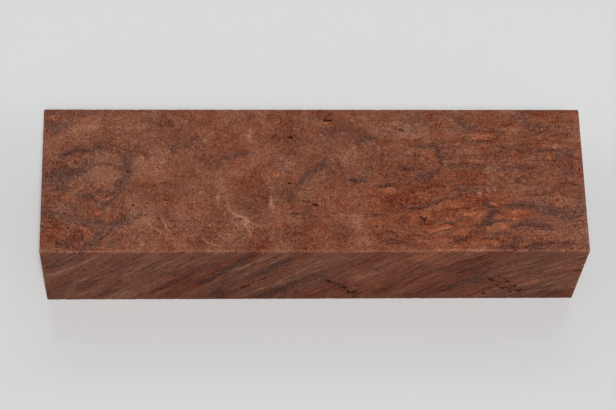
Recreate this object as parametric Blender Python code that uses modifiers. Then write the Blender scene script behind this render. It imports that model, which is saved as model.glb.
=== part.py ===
"""Stabilised redwood burl block: one billet of wood, sawn square, sanded and lying on its underside.

Metres, +Z up. The origin is the middle of the underside. X runs along the length, the burl figure
is on the upper face, and the side where the grain runs in slanting streaks faces -Y.
The block is one piece, so it is one solid: a box with eased edges, open where small bark pockets
and checks in the burl reach the surface.
"""

from math import radians

import bmesh
import bpy
from mathutils import Matrix, Vector, noise

MM = 0.001

# The sawn size, and the round that sanding leaves on every edge
LENGTH = 135.0 * MM
WIDTH = 39.4 * MM
HEIGHT = 30.0 * MM
EDGE_EASE = 0.45 * MM
EASE_SEGMENTS = 3

# A void is an uneven lens sunk in a face. Its wall wanders by this share of its radius.
VOID_RAGGEDNESS = 0.22
VOID_SUBDIVISIONS = 2

WOOD_COLOUR = (0.191, 0.069, 0.041, 1.0)
WOOD_ROUGHNESS = 0.5

# Each face that has voids, as its centre and the directions of its two coordinates.
# The upper face is measured from its middle, and a side from the middle of its lower edge.
FACES = {
    "upper": (Vector((0, 0, HEIGHT)), Vector((1, 0, 0)), Vector((0, 1, 0))),
    "front": (Vector((0, -WIDTH / 2, 0)), Vector((1, 0, 0)), Vector((0, 0, 1))),
    "back": (Vector((0, WIDTH / 2, 0)), Vector((-1, 0, 0)), Vector((0, 0, 1))),
    "under": (Vector((0, 0, 0)), Vector((-1, 0, 0)), Vector((0, 1, 0))),
    "right_end": (Vector((LENGTH / 2, 0, 0)), Vector((0, 1, 0)), Vector((0, 0, 1))),
}

# Face, place on the face, length, width, depth (all mm) and turn of the length (degrees)
VOIDS = [
    ("upper", 3.7, 16.5, 2.1, 0.8, 0.7, 4),
    ("upper", -5.8, 11.8, 1.3, 0.6, 0.5, -8),
    ("upper", -6.4, -1.0, 1.1, 0.6, 0.5, 0),
    ("upper", -0.1, -6.8, 1.5, 0.6, 0.6, -20),
    ("upper", 22.1, 13.9, 1.4, 0.4, 0.4, -10),
    ("upper", 26.9, -11.0, 1.9, 0.8, 0.9, -60),
    ("upper", 27.0, -10.9, 1.5, 0.6, 0.8, 35),
    ("upper", -44.8, -7.0, 0.7, 0.6, 0.4, 60),
    ("upper", -18.5, -10.6, 1.1, 0.5, 0.4, -25),
    ("front", -12.4, 13.5, 2.3, 0.8, 0.6, 52),
    ("front", -17.5, 8.0, 1.8, 0.9, 0.6, 48),
    ("front", 3.8, 11.7, 1.5, 1.2, 0.7, 20),
    ("front", 7.9, 7.4, 2.0, 1.4, 0.9, 0),
    ("front", 10.5, 4.1, 2.6, 1.1, 0.8, 15),
    ("front", 45.0, 12.2, 1.8, 1.2, 0.8, -50),
    ("front", 48.3, 12.8, 1.2, 0.8, 0.6, 70),
    ("front", 49.1, 10.9, 1.2, 0.9, 0.7, 10),
    ("front", 47.2, 8.7, 1.6, 0.8, 0.7, -35),
    ("front", 49.1, 7.0, 2.2, 1.1, 0.9, 8),
    ("front", 51.3, 8.2, 1.3, 1.2, 0.7, 40),
    ("front", 53.2, 5.3, 2.3, 1.2, 0.9, 12),
    ("front", 66.8, 17.9, 3.4, 0.9, 0.9, 38),
    ("back", -38.0, 18.5, 2.4, 0.9, 0.8, 125),
    ("back", 21.5, 9.0, 1.9, 0.8, 0.6, 130),
    ("under", 30.0, -6.0, 1.8, 0.8, 0.7, 10),
    ("under", -41.0, 8.5, 1.3, 0.6, 0.5, -15),
    ("right_end", -7.5, 21.0, 1.6, 0.7, 0.6, 70),
]


def remove_everything():
    """Empties the file of objects, so that the script can be run again."""
    for thing in list(bpy.data.objects):
        bpy.data.objects.remove(thing)


def new_collection(name):
    """A new collection under the scene's own."""
    collection = bpy.data.collections.new(name)
    bpy.context.scene.collection.children.link(collection)
    return collection


def wood_material():
    """Sanded burl with resin in its pores: dull red-brown and only a little glossy."""
    material = bpy.data.materials.new("stabilised_redwood_burl")
    material.use_nodes = True
    shader = material.node_tree.nodes["Principled BSDF"]
    shader.inputs["Base Color"].default_value = WOOD_COLOUR
    shader.inputs["Roughness"].default_value = WOOD_ROUGHNESS
    shader.inputs["Metallic"].default_value = 0.0
    return material


def object_from(shape, name, collection):
    """Turns a bmesh into an object in the collection."""
    mesh = bpy.data.meshes.new(name)
    shape.to_mesh(mesh)
    shape.free()
    thing = bpy.data.objects.new(name, mesh)
    collection.objects.link(thing)
    return thing


def sawn_block(collection):
    """The square billet, with its edges eased."""
    shape = bmesh.new()
    middle = Matrix.Translation((0, 0, HEIGHT / 2))
    bmesh.ops.create_cube(shape, size=1.0, matrix=middle @ Matrix.Diagonal((LENGTH, WIDTH, HEIGHT, 1)))
    block = object_from(shape, "burl_block", collection)
    ease = block.modifiers.new("eased_edges", "BEVEL")
    ease.width = EDGE_EASE
    ease.segments = EASE_SEGMENTS
    return block


def void_cutter(index, face, across, up, length, width, depth, turn, collection):
    """A lens half sunk in the face, its wall made uneven by noise that differs from void to void."""
    centre, right, rise = FACES[face]
    shape = bmesh.new()
    bmesh.ops.create_icosphere(shape, subdivisions=VOID_SUBDIVISIONS, radius=1.0)
    for vert in shape.verts:
        wander = noise.noise(vert.co * 1.7 + Vector((index * 3.1, 0, 0)))
        vert.co *= 1 + VOID_RAGGEDNESS * wander
    size = Matrix.Diagonal((length / 2 * MM, width / 2 * MM, depth * MM, 1))
    outward = right.cross(rise)
    facing = Matrix((right, rise, outward)).transposed().to_4x4()
    place = Matrix.Translation(centre + (right * across + rise * up) * MM)
    lie = Matrix.Rotation(radians(turn), 4, "Z")
    bmesh.ops.transform(shape, matrix=place @ facing @ lie @ size, verts=shape.verts)
    cutter = object_from(shape, f"void_{index:02d}_{face}", collection)
    cutter.display_type = "WIRE"
    cutter.hide_render = True
    return cutter


def open_voids(block, cutters):
    """Cuts every lens out of the block."""
    cut = block.modifiers.new("open_voids", "BOOLEAN")
    cut.operation = "DIFFERENCE"
    cut.operand_type = "COLLECTION"
    cut.collection = cutters
    cut.solver = "EXACT"


def main():
    remove_everything()
    parts = new_collection("redwood_burl_block")
    cutters = new_collection("void_cutters")
    block = sawn_block(parts)
    for index, void in enumerate(VOIDS):
        void_cutter(index, *void, cutters)
    open_voids(block, cutters)
    block.data.materials.append(wood_material())


main()
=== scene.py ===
from math import cos, radians, sin

import bmesh
import bpy
import numpy as np
from mathutils import Matrix, Vector, noise


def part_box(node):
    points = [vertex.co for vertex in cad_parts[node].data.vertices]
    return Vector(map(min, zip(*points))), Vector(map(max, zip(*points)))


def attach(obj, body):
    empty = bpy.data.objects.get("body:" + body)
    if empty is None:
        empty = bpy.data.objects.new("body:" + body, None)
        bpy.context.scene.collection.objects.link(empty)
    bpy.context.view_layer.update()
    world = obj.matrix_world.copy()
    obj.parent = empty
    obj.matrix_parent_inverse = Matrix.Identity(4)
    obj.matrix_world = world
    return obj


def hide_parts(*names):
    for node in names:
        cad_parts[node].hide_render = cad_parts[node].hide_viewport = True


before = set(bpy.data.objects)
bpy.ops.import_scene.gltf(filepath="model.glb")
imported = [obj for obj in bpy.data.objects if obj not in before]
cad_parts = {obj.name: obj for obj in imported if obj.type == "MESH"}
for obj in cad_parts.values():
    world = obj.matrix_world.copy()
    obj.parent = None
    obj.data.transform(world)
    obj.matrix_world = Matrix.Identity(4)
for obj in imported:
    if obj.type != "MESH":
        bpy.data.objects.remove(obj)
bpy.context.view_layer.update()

mm = 0.001
blockLow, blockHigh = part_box("burl_block")
longMm, wideMm, tallMm = (blockHigh - blockLow) / mm

block = {
    "cell": 1.22,                  # side of a mesh cell, mm
    "facingCuts": 2,               # cuts in each cell of the upper and front faces, for the fine figure
    "edgeRound": 0.45,             # what sanding took off every edge, mm
    "edgeSteps": 3,
    "waviness": (12.0, 0.03),      # size of a dip in the hand-sanded faces, its depth, mm
    "dents": (1.1, 0.10),          # size of a small dent along an edge, the deepest, mm
    "wear": (0.9, 5.0),            # how far in from an edge the wood is rubbed and painted paler as a highlight, how patchily, mm
    "pocketReach": (0.55, 0.15),   # how far past a pocket the mesh is halved, then halved again, mm
    "seed": 5,                     # which run of unevenness the figure takes
}

# Open bark pockets and checks: face, place on it, length, width, depth (mm), turn (degrees).
# Upper and under are measured from the middle, the sides from the middle of their lower edge.
pockets = [
    ("upper", 3.7, 16.5, 2.1, 0.8, 0.7, 4),
    ("upper", -5.8, 11.8, 1.3, 0.6, 0.5, -8),
    ("upper", -6.4, -1.0, 1.1, 0.6, 0.5, 0),
    ("upper", -0.1, -6.8, 1.5, 0.6, 0.6, -20),
    ("upper", 22.1, 13.9, 1.4, 0.4, 0.4, -10),
    ("upper", 26.8, -11.0, 1.9, 0.45, 0.8, -82),
    ("upper", 26.3, -10.5, 1.2, 0.36, 0.6, -40),
    ("upper", 27.2, -10.7, 1.2, 0.36, 0.6, 35),
    ("upper", -44.8, -7.0, 0.7, 0.45, 0.3, 60),
    ("upper", -18.7, -10.6, 1.0, 0.35, 0.25, -25),
    ("front", -12.7, 13.2, 2.8, 0.7, 0.6, 49),
    ("front", -17.2, 8.4, 2.6, 0.7, 0.6, 46),
    ("front", 3.8, 11.9, 1.6, 1.1, 0.7, -40),
    ("front", 5.6, 10.1, 2.6, 0.4, 0.3, -42),
    ("front", 8.0, 7.6, 1.9, 1.6, 0.9, 0),
    ("front", 6.2, 6.5, 0.9, 0.7, 0.4, 0),
    ("front", 9.2, 5.6, 1.5, 0.4, 0.4, -75),
    ("front", 10.4, 4.3, 2.7, 1.3, 0.8, 12),
    ("front", 45.0, 12.1, 2.4, 1.3, 0.8, -55),
    ("front", 47.0, 14.3, 1.1, 0.7, 0.4, -40),
    ("front", 48.3, 12.8, 1.1, 0.9, 0.6, 70),
    ("front", 49.2, 10.9, 1.5, 1.0, 0.7, -75),
    ("front", 47.3, 8.5, 2.1, 0.7, 0.6, -38),
    ("front", 49.0, 6.9, 2.8, 1.6, 0.9, 8),
    ("front", 51.3, 8.0, 2.0, 1.4, 0.7, 60),
    ("front", 53.1, 5.2, 2.6, 2.0, 0.9, 25),
    ("front", 50.9, 4.0, 1.8, 0.7, 0.5, 80),
    ("front", 44.3, 3.1, 1.5, 1.1, 0.5, 60),
    ("front", 46.7, 5.0, 1.1, 0.9, 0.4, 0),
    ("front", 66.2, 17.6, 3.4, 1.2, 1.0, 36),
    ("back", -38.0, 18.5, 2.4, 0.9, 0.8, 125),
    ("back", 21.5, 9.0, 1.9, 0.8, 0.6, 130),
    ("under", 30.0, -6.0, 1.8, 0.8, 0.7, 10),
    ("under", -41.0, 8.5, 1.3, 0.6, 0.5, -15),
    ("rightEnd", -7.5, 21.0, 1.6, 0.7, 0.6, 70),
]

# Centre of each face and the two directions its places are measured along, mm
faces = {
    "upper": ((0, 0, tallMm), (1, 0, 0), (0, 1, 0)),
    "front": ((0, -wideMm / 2, 0), (1, 0, 0), (0, 0, 1)),
    "back": ((0, wideMm / 2, 0), (-1, 0, 0), (0, 0, 1)),
    "under": ((0, 0, 0), (-1, 0, 0), (0, 1, 0)),
    "rightEnd": ((longMm / 2, 0, 0), (0, 1, 0), (0, 0, 1)),
}

# The figure of the burl, drawn as marks. A stroke is its width, strength and the points it
# passes through; a patch is its centre, length, width, turn and strength. Upper face: x, y.
upperSmoke = [
    (2.4, 0.80, [(-67.2, 15.2), (-64.5, 14.6), (-61.5, 14.8)]),
    (1.6, 0.60, [(-65, 13.8), (-64, 12.2)]),
    (1.6, 0.55, [(-67.5, 19), (-65, 18.8)]),
    (1.6, 0.50, [(-63.5, 18.6), (-63, 16.5), (-62, 15.6)]),
    (1.6, 0.40, [(-62, 17.6), (-58, 18), (-55, 19)]),
    (1.3, 0.75, [(-63.5, 6), (-62, 6.8), (-60.5, 7.4), (-58.5, 8.3), (-56.2, 8.2), (-55.2, 6.5),
                 (-55.5, 4.4)]),
    (2.4, 0.95, [(-55.6, 5), (-56, 3.6), (-58, 2.2), (-61, 1.3), (-64, 2), (-66.5, 0.6)]),
    (2.2, 0.80, [(-66.5, -0.4), (-64.5, 0), (-62.5, -1), (-61, -0.6)]),
    (3.4, 0.60, [(-64, -2.8), (-61.5, -2.6)]),
    (0.8, 0.7, [(-55, 4.3), (-51.5, 4.4), (-48, 4)]),
    (1.7, 0.75, [(-54, 8.4), (-53.3, 8.9)]),
    (2.6, 0.60, [(-44.5, 8.2), (-46, 6), (-46.8, 4.2)]),
    (1.8, 0.85, [(-46.3, 4.6), (-46.6, 2.4), (-47.4, 0.4), (-49, -1)]),
    (1.1, 0.80, [(-48, 0), (-48.3, -1.8), (-49, -3.6), (-50.5, -5.2)]),
    (1.4, 0.90, [(-50.4, -5.6), (-52, -6.2), (-53.8, -6.8)]),
    (0.9, 0.60, [(-51, -6.8), (-53.5, -7.8)]),
    (1.0, 0.50, [(-49, -1.2), (-50.5, -2.2), (-53, -3.4), (-55.5, -4.4)]),
    (1.8, 0.85, [(-55.2, -4.2), (-56.5, -4.6), (-58.5, -4)]),
    (3.4, 0.45, [(-67.5, -7), (-63, -7.4), (-59.5, -7.6)]),
    (1.0, 0.60, [(-67, -9), (-62, -9.4), (-57, -10.6)]),
    (1.6, 0.70, [(-57, -11.3), (-54, -11.2), (-52, -11.8)]),
    (2.0, 0.80, [(-43, -9.2), (-44.5, -10.6), (-47.5, -11), (-49.5, -12.2)]),
    (2.4, 0.90, [(-48, -12.2), (-50.5, -13.3), (-52.5, -15), (-54.5, -17), (-57, -18.8)]),
    (1.6, 0.60, [(-49.5, -16.2), (-48.5, -17)]),
    (1.5, 0.60, [(-36, 8.2), (-33.5, 8.8), (-30.5, 10.4), (-29, 12.4)]),
    (1.2, 0.75, [(-24.2, 5), (-21.5, 6.2), (-18.5, 7), (-15.5, 7.3)]),
    (0.9, 0.50, [(-24, 4.2), (-23.3, 3.2)]),
    (1.7, 0.80, [(3.2, 5.5), (1, 3.2), (-1, 1.6), (-2.8, -0.4), (-3.9, -1.6)]),
    (3.0, 0.42, [(-9.2, -3.6), (-6.5, -4), (-4.6, -3)]),
    (0.6, 0.50, [(-7, -5.8), (-3.5, -6), (-1, -6.6)]),
    (0.7, 0.50, [(-7, -9.4), (-3, -9.2)]),
    (3.0, 0.50, [(5, 17.5), (7.5, 15.2), (9, 13.8)]),
    (2.6, 0.45, [(3.5, 12.5), (6, 12)]),
    (1.8, 0.75, [(10.8, 9.8), (13, 11), (15.5, 11.5)]),
    (1.2, 0.50, [(16.3, 7), (16.6, 5.6)]),
    (1.4, 0.60, [(11.5, 0.4), (12.6, 1.8), (14, 3.6)]),
    (1.0, 0.80, [(7.5, -0.4), (10, -0.2), (13, -0.5)]),
    (1.2, 0.80, [(20.6, 2.6), (22, 3), (24, 2.8)]),
    (1.6, 0.70, [(23.8, 16.8), (26, 16.4), (28, 16)]),
    (1.1, 0.65, [(24.2, 9.6), (27, 9), (29.5, 9.2), (31.6, 7.6), (32, 4.8), (31, 2.8), (29, 1.2)]),
    (2.2, 0.75, [(29.5, 1.8), (28, 0.8), (26, 0.8)]),
    (0.8, 0.85, [(15.2, -1.6), (17.5, -1.5), (19.8, -1.1)]),
    (1.0, 0.60, [(20.5, -7.6), (21.8, -7.3)]),
    (1.1, 0.60, [(14.5, -10.2), (17.5, -9.8)]),
    (1.2, 0.50, [(20.5, -12.4), (22.8, -12.2)]),
    (1.3, 0.50, [(17.5, -14.4), (19, -14)]),
    (1.4, 0.55, [(17, -16.8), (20, -17), (22.5, -17.4)]),
    (0.8, 0.75, [(23, -8.3), (25.5, -8), (28, -7), (30.5, -6.2), (34, -5.2), (36.5, -4)]),
    (1.1, 0.50, [(29.5, -11.6), (34.5, -12)]),
    (1.0, 0.45, [(32, -14.2), (35, -13.6)]),
    (1.3, 0.70, [(36.4, 17.6), (37.2, 16), (39, 15), (41, 14.6)]),
    (1.4, 0.40, [(39.8, 13.2), (44.3, 13.4), (47.3, 12.8)]),
    (1.0, 0.25, [(45.5, 13), (46.2, 11.4), (44.5, 10.8)]),
    (1.6, 0.60, [(50, 17), (52.5, 16.9), (54.5, 16.2)]),
    (0.9, 0.50, [(56.8, 13), (58.4, 12.8)]),
    (0.5, 0.60, [(32, 5.8), (38.5, 6.1), (43.9, 6.4)]),
    (0.6, 0.50, [(33.5, 3.4), (37.3, 4.1)]),
    (0.5, 0.50, [(51.8, 7.6), (58.5, 7.8), (62.3, 8)]),
    (0.5, 0.40, [(54.4, 5.5), (62.7, 5.1)]),
    (0.5, 0.70, [(33.2, -12.4), (36, -10.9), (38.9, -10.1)]),
    (0.7, 0.50, [(34.3, -17.2), (36, -16.2)]),
    (0.8, 0.50, [(48.5, 1.8), (50.2, 0.1), (51.8, -1.2)]),
    (0.8, 0.50, [(54.4, -17.4), (58.5, -17.2), (62.3, -17.4)]),
    (1.2, 0.75, [(46, 2.6), (48.2, 3), (51, 3.6), (53.5, 3.4)]),
    (1.0, 0.50, [(55, 2.4), (57, 1.6)]),
    (3.0, 0.65, [(61.8, 6.6), (63.6, 7.6), (65, 6.6)]),
    (1.8, 0.60, [(63.2, 2.4), (64.8, 1.2)]),
    (1.0, 0.85, [(63.8, -1), (65, -1.3), (66.4, -1.9)]),
    (2.0, 0.40, [(50.5, -0.8), (54, -1.2)]),
    (1.6, 0.40, [(53, -3.4), (56, -4)]),
    (1.8, 0.50, [(35, -2.8), (39, -2.6), (43, -3)]),
    (1.6, 0.60, [(42, -6.6), (43.2, -7.6)]),
    (1.8, 0.80, [(44.6, -8.2), (43.4, -10), (42, -11.8), (41.2, -12.8)]),
    (1.4, 0.80, [(41.6, -12.6), (44, -11.8), (47, -11.4)]),
    (2.2, 0.75, [(47.8, -7.6), (51, -6.8), (54, -7.2), (57, -8.6), (61, -9.4), (67.5, -8.8)]),
    (1.6, 0.70, [(60, -10.4), (63.5, -11), (67.5, -11.8)]),
    (2.2, 0.85, [(48.8, -13), (51.5, -11.6), (54, -12), (56.5, -13), (58.6, -13.4)]),
    (1.2, 0.70, [(42.8, -15), (45, -14.8), (47.5, -14.8)]),
    (2.0, 0.70, [(45.5, -19), (48.5, -18), (50, -16)]),
    (1.0, 0.60, [(34.5, -17.2), (36.5, -16.4)]),
    (2.4, 0.60, [(52, -18.6), (56, -18)]),
    (2.4, 0.55, [(61, -17.6), (63, -17)]),
    (1.6, 0.50, [(66.5, -16), (66.8, -19)]),
    (2.0, 0.50, [(66.4, -4), (65.4, -7)]),
    (3.4, 0.6, [(-67, -1.6), (-63, 1), (-58.6, 2.6)]),
    (2.4, 0.5, [(-66.8, -9.4), (-61, -10.4), (-55.4, -12), (-50.6, -12)]),
    (2.2, 0.5, [(-47.6, 6.8), (-46, 3.4), (-46.6, -0.4)]),
    (1.6, 0.45, [(-55.6, 10.4), (-53.4, 8.2), (-53.6, 5.2)]),
    (2.6, 0.5, [(-66.4, 16), (-62.6, 14.6), (-60.6, 15.6)]),
    (2, 0.4, [(-63, -18.4), (-60.4, -16.6), (-57, -15.8)]),
    (1.1, 0.45, [(37.6, 10.7), (41, 10.2), (44.6, 10.4)]),
    (1.2, 0.5, [(33.5, 4.3), (38, 3.7), (43.2, 3.2)]),
    (1.0, 0.45, [(33.8, 14.6), (36.4, 14), (39.4, 13.4)]), (0.9, 0.4, [(46, 9), (50, 8.8), (54, 9.4)]),
    (1.0, 0.4, [(52.6, 7.4), (57, 7.9), (61.6, 7.7)]), (0.9, 0.4, [(53.4, 15), (58, 15.4), (62.4, 14.8)]),
    (1.2, 0.4, [(20.4, 14.4), (23.4, 13.6), (26.2, 13.2)]), (1.0, 0.4, [(16.4, 13.4), (19.6, 12.6)]),
    (1.0, 0.45, [(0.6, 13.2), (5, 13.9), (9.4, 13.4)]), (1.2, 0.35, [(-2.4, 17.6), (1.4, 17.2), (4.4, 16)]),
]
upperUmber = [
    (-64, 18.6, 6, 3, 0, 0.5), (-6.5, 11, 6, 7, 0, 0.6), (-17, -7, 9, 7, -30, 0.65),
    (-26, -14, 6, 5, 0, 0.45), (-5, -14, 6, 5, 0, 0.4), (-13, -17, 7, 5, 0, 0.4),
    (-30.5, 10.5, 5, 5, 0, 0.35), (-38, -5.6, 9, 3, -8, 0.6), (47, 3.6, 6, 3, 0, 0.4),
    (49, -16.6, 5, 4, 0, 0.7), (57, -18, 10, 3, 0, 0.5), (-33, -2, 8, 6, 0, 0.25), (-22, 16, 8, 5, 0, 0.3),
    (-47, 4.6, 3, 3, 0, 0.5), (-64, -14, 4, 6, 0, 0.35), (-59.5, -17, 4, 4, 0, 0.5),
    (-38, -12, 3, 4, 0, 0.4), (-36, 14.5, 7, 7, 0, 0.35), (20, -6, 6, 4, 0, 0.35), (64, 2, 6, 8, 0, 0.35),
    (-20, 13, 8, 6, 0, 0.25), (-9, -8, 8, 3, 0, 0.3), (66, 13, 4, 8, 0, 0.3), (-37, -18, 4, 3, 0, 0.4),
    (43, -16, 14, 2, 5, 0.35), (8, -16, 5, 6, 0, 0.25), (50, 18.5, 16, 2, 0, 0.3),
    (28, -13.5, 8, 2, 0, 0.4),
]
upperEmber = [
    (-65.4, 16.8, 3, 2, 0, 0.8), (-66, 12.6, 3, 2, 0, 0.7), (-61.7, 10.4, 5, 2.6, 10, 0.55),
    (-65.4, 6.4, 3, 2, 0, 0.5),
    (-66, 2.2, 2, 1.8, 0, 1.0), (-59.4, 5.2, 4, 3, -10, 0.45), (-66.2, -3, 3, 2, 0, 0.6),
    (-61.5, -4.8, 3.4, 1.4, 0, 0.85),
    (-58.5, -1.1, 3.6, 2.4, -20, 0.6), (-53.8, -4.9, 2.4, 1.2, 10, 0.8), (-50.6, -4.9, 2.4, 1.7, 30, 0.8),
    (-53.8, -8.9, 1.7, 1.6, 0, 1.0),
    (-49, -9.9, 3.8, 1.6, 15, 0.8), (-63.5, -11.1, 3.6, 1.5, 0, 0.9), (-61.7, -12.8, 3, 1.4, 0, 0.7),
    (-56.9, -13.6, 3.6, 2.8, 0, 0.8),
    (-59.6, -15.7, 2.4, 2, 0, 0.7), (-52.1, -17.4, 2, 1.4, 0, 0.7), (-65, -13.8, 3, 2, 0, 0.6),
    (-57, 16.4, 5, 2.6, 0, 0.4),
    (-42.6, -2, 4.6, 4.2, 0, 0.6), (-42.4, 5.4, 2, 1.8, 0, 0.6), (-43.2, 1.1, 1.4, 1.4, 0, 0.8),
    (-45, 1.8, 1.4, 1.4, 0, 0.7),
    (-33.3, 1, 2.6, 1.8, 0, 0.4), (-41, -6, 5, 2, 10, 0.5), (-36.4, -5.4, 4, 2.2, -10, 0.5),
    (-28.4, 12.6, 1.7, 1.5, 0, 0.9),
    (-20, 10.4, 4, 2.6, 0, 0.4), (-19, -2.6, 4, 2.8, 0, 0.6), (-22, 1, 3, 2, 0, 0.4),
    (-11.8, 14.8, 5, 4, 0, 0.5),
    (-6, 16.6, 3, 2, 0, 0.6), (-4.8, 11.4, 2.4, 1.4, 0, 1.0), (-9.3, 1.5, 2.4, 1.5, 10, 0.9),
    (-6, 1.4, 1.8, 1.2, 0, 0.7),
    (-6, -0.8, 2.2, 1.5, 0, 0.6), (-7.2, -7.4, 2.8, 1.6, 0, 0.8), (-3.4, -6.8, 2, 1.4, 0, 0.7),
    (-8.4, -12.7, 3, 1.3, 0, 0.9),
    (-1, -7.1, 2, 1.6, 0, 0.9), (-12.8, -17.4, 4, 2, 0, 0.6), (-2.4, -18, 5, 2.2, 0, 0.6),
    (-26.6, -13.4, 2, 1.6, 0, 0.5),
    (-30, -17.4, 4, 2, 0, 0.4), (-27.6, 5, 3, 2, 0, 0.35), (-15, -13.8, 2.6, 2, 0, 0.45),
    (2.9, 15.9, 2.4, 0.9, 0, 0.9), (10, 18.4, 2, 1.6, 0, 0.6), (17.6, 18.4, 3, 1.6, 0, 0.4),
    (28.6, 17.8, 2.8, 1.8, 0, 0.6),
    (18, 11.4, 3, 1.6, 0, 0.4), (26.6, 10.1, 6, 1.2, 0, 0.55), (30, 6.6, 3, 3.4, 0, 0.6),
    (25, 4.4, 4, 2.6, 0, 0.35),
    (21.4, 1.7, 2.6, 1.4, 0, 0.7), (16.6, 1.6, 3.6, 2, 0, 0.4), (18.6, -2.9, 3.4, 1.7, -10, 0.9),
    (13.4, -3.6, 4, 2, 0, 0.5),
    (26.2, -4, 4.4, 3, 0, 0.65), (32.8, 1.1, 2.6, 2, 0, 0.6), (30.6, -3.4, 3.6, 2, 0, 0.5),
    (31.6, -6.8, 6, 2, 20, 0.8),
    (27.6, -10, 3.4, 2.4, 0, 0.85), (23.6, -10.4, 3, 1.4, 0, 0.4), (19.6, -13, 2.6, 1.4, 0, 0.5),
    (30.6, -13.2, 7, 1.6, 14, 0.8),
    (26, -16.8, 4, 2.4, 0, 0.7), (30.6, -17.4, 5, 2.6, 0, 0.7), (21, -18, 3, 1.6, 0, 0.6),
    (6, -18, 4, 2, 0, 0.4),
    (35, 17.6, 3, 1.6, 0, 0.4), (37.7, 16.8, 2.2, 1.4, -20, 0.7), (42, 11.6, 2.6, 1.2, 0, 0.8),
    (42, 9, 3.6, 1, 0, 0.85),
    (40.2, 5.2, 6, 1.4, 0, 0.7), (50.2, 7.6, 3, 1.4, 0, 0.7), (49.8, 5.3, 4, 1.8, 0, 0.6),
    (59.1, 5.7, 1.8, 1.6, 0, 0.8),
    (66, 9.3, 2, 1.4, 0, 0.8), (65.8, 6.8, 2, 1.3, 0, 0.8), (51.4, 1.6, 2.2, 1.6, 0, 0.8),
    (55, 1.4, 1.5, 1.4, 0, 0.7),
    (34.3, 0.7, 2.4, 1.8, 0, 0.7), (41.2, 0.5, 5, 2.6, 0, 0.8), (46.6, 1, 4.6, 2.2, 0, 0.7),
    (36.6, -1, 4, 1.8, 0, 0.5),
    (45.4, -2.2, 2.2, 1.4, 0, 0.7), (40.2, -4.9, 6, 1.8, 0, 0.8), (35.6, -6.9, 5, 1.8, 10, 0.8),
    (44.5, -7, 2.4, 1.3, 0, 1.0),
    (46, -5, 5, 1.6, 0, 0.5), (50.6, -8.8, 4, 1.7, 0, 0.8), (45.2, -10.3, 2.4, 1.4, 0, 0.9),
    (49.5, -10.9, 2.2, 1.1, 0, 0.9),
    (39.6, -9.5, 8, 3.6, 15, 0.9), (36, -11.6, 5, 1.8, 15, 0.7), (45.8, -12.8, 3.4, 1.8, 0, 1.0),
    (42.7, -13, 2, 1.3, 0, 0.8),
    (36, -14.6, 5, 1.6, 15, 0.8), (39.1, -17.3, 5, 1.9, 8, 0.9), (43.5, -17.2, 3.4, 1.8, 0, 0.9),
    (34.6, -18.4, 3, 1.4, 0, 0.6),
    (48, -16.2, 3, 1.2, 0, 0.4), (57.9, -15.7, 2.2, 1.3, 0, 0.7), (65.4, -10.5, 3, 0.9, 0, 0.8),
    (65.4, -12.6, 1.8, 1.5, 0, 0.8),
    (61.2, -5.2, 5, 3, 0, 0.45), (62.4, 11.7, 8, 2.4, 8, 0.5), (54, 11.8, 5, 2.2, 0, 0.4),
    (56.6, 18.6, 3, 1.4, 0, 0.6),
    (65.4, 17.6, 4, 3, 0, 0.6), (50, 15, 6, 1.8, 0, 0.4), (59.6, -10.6, 3, 1.2, 0, 0.4),
    (54.6, -16.6, 4, 1, 0, 0.3),
]
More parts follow.
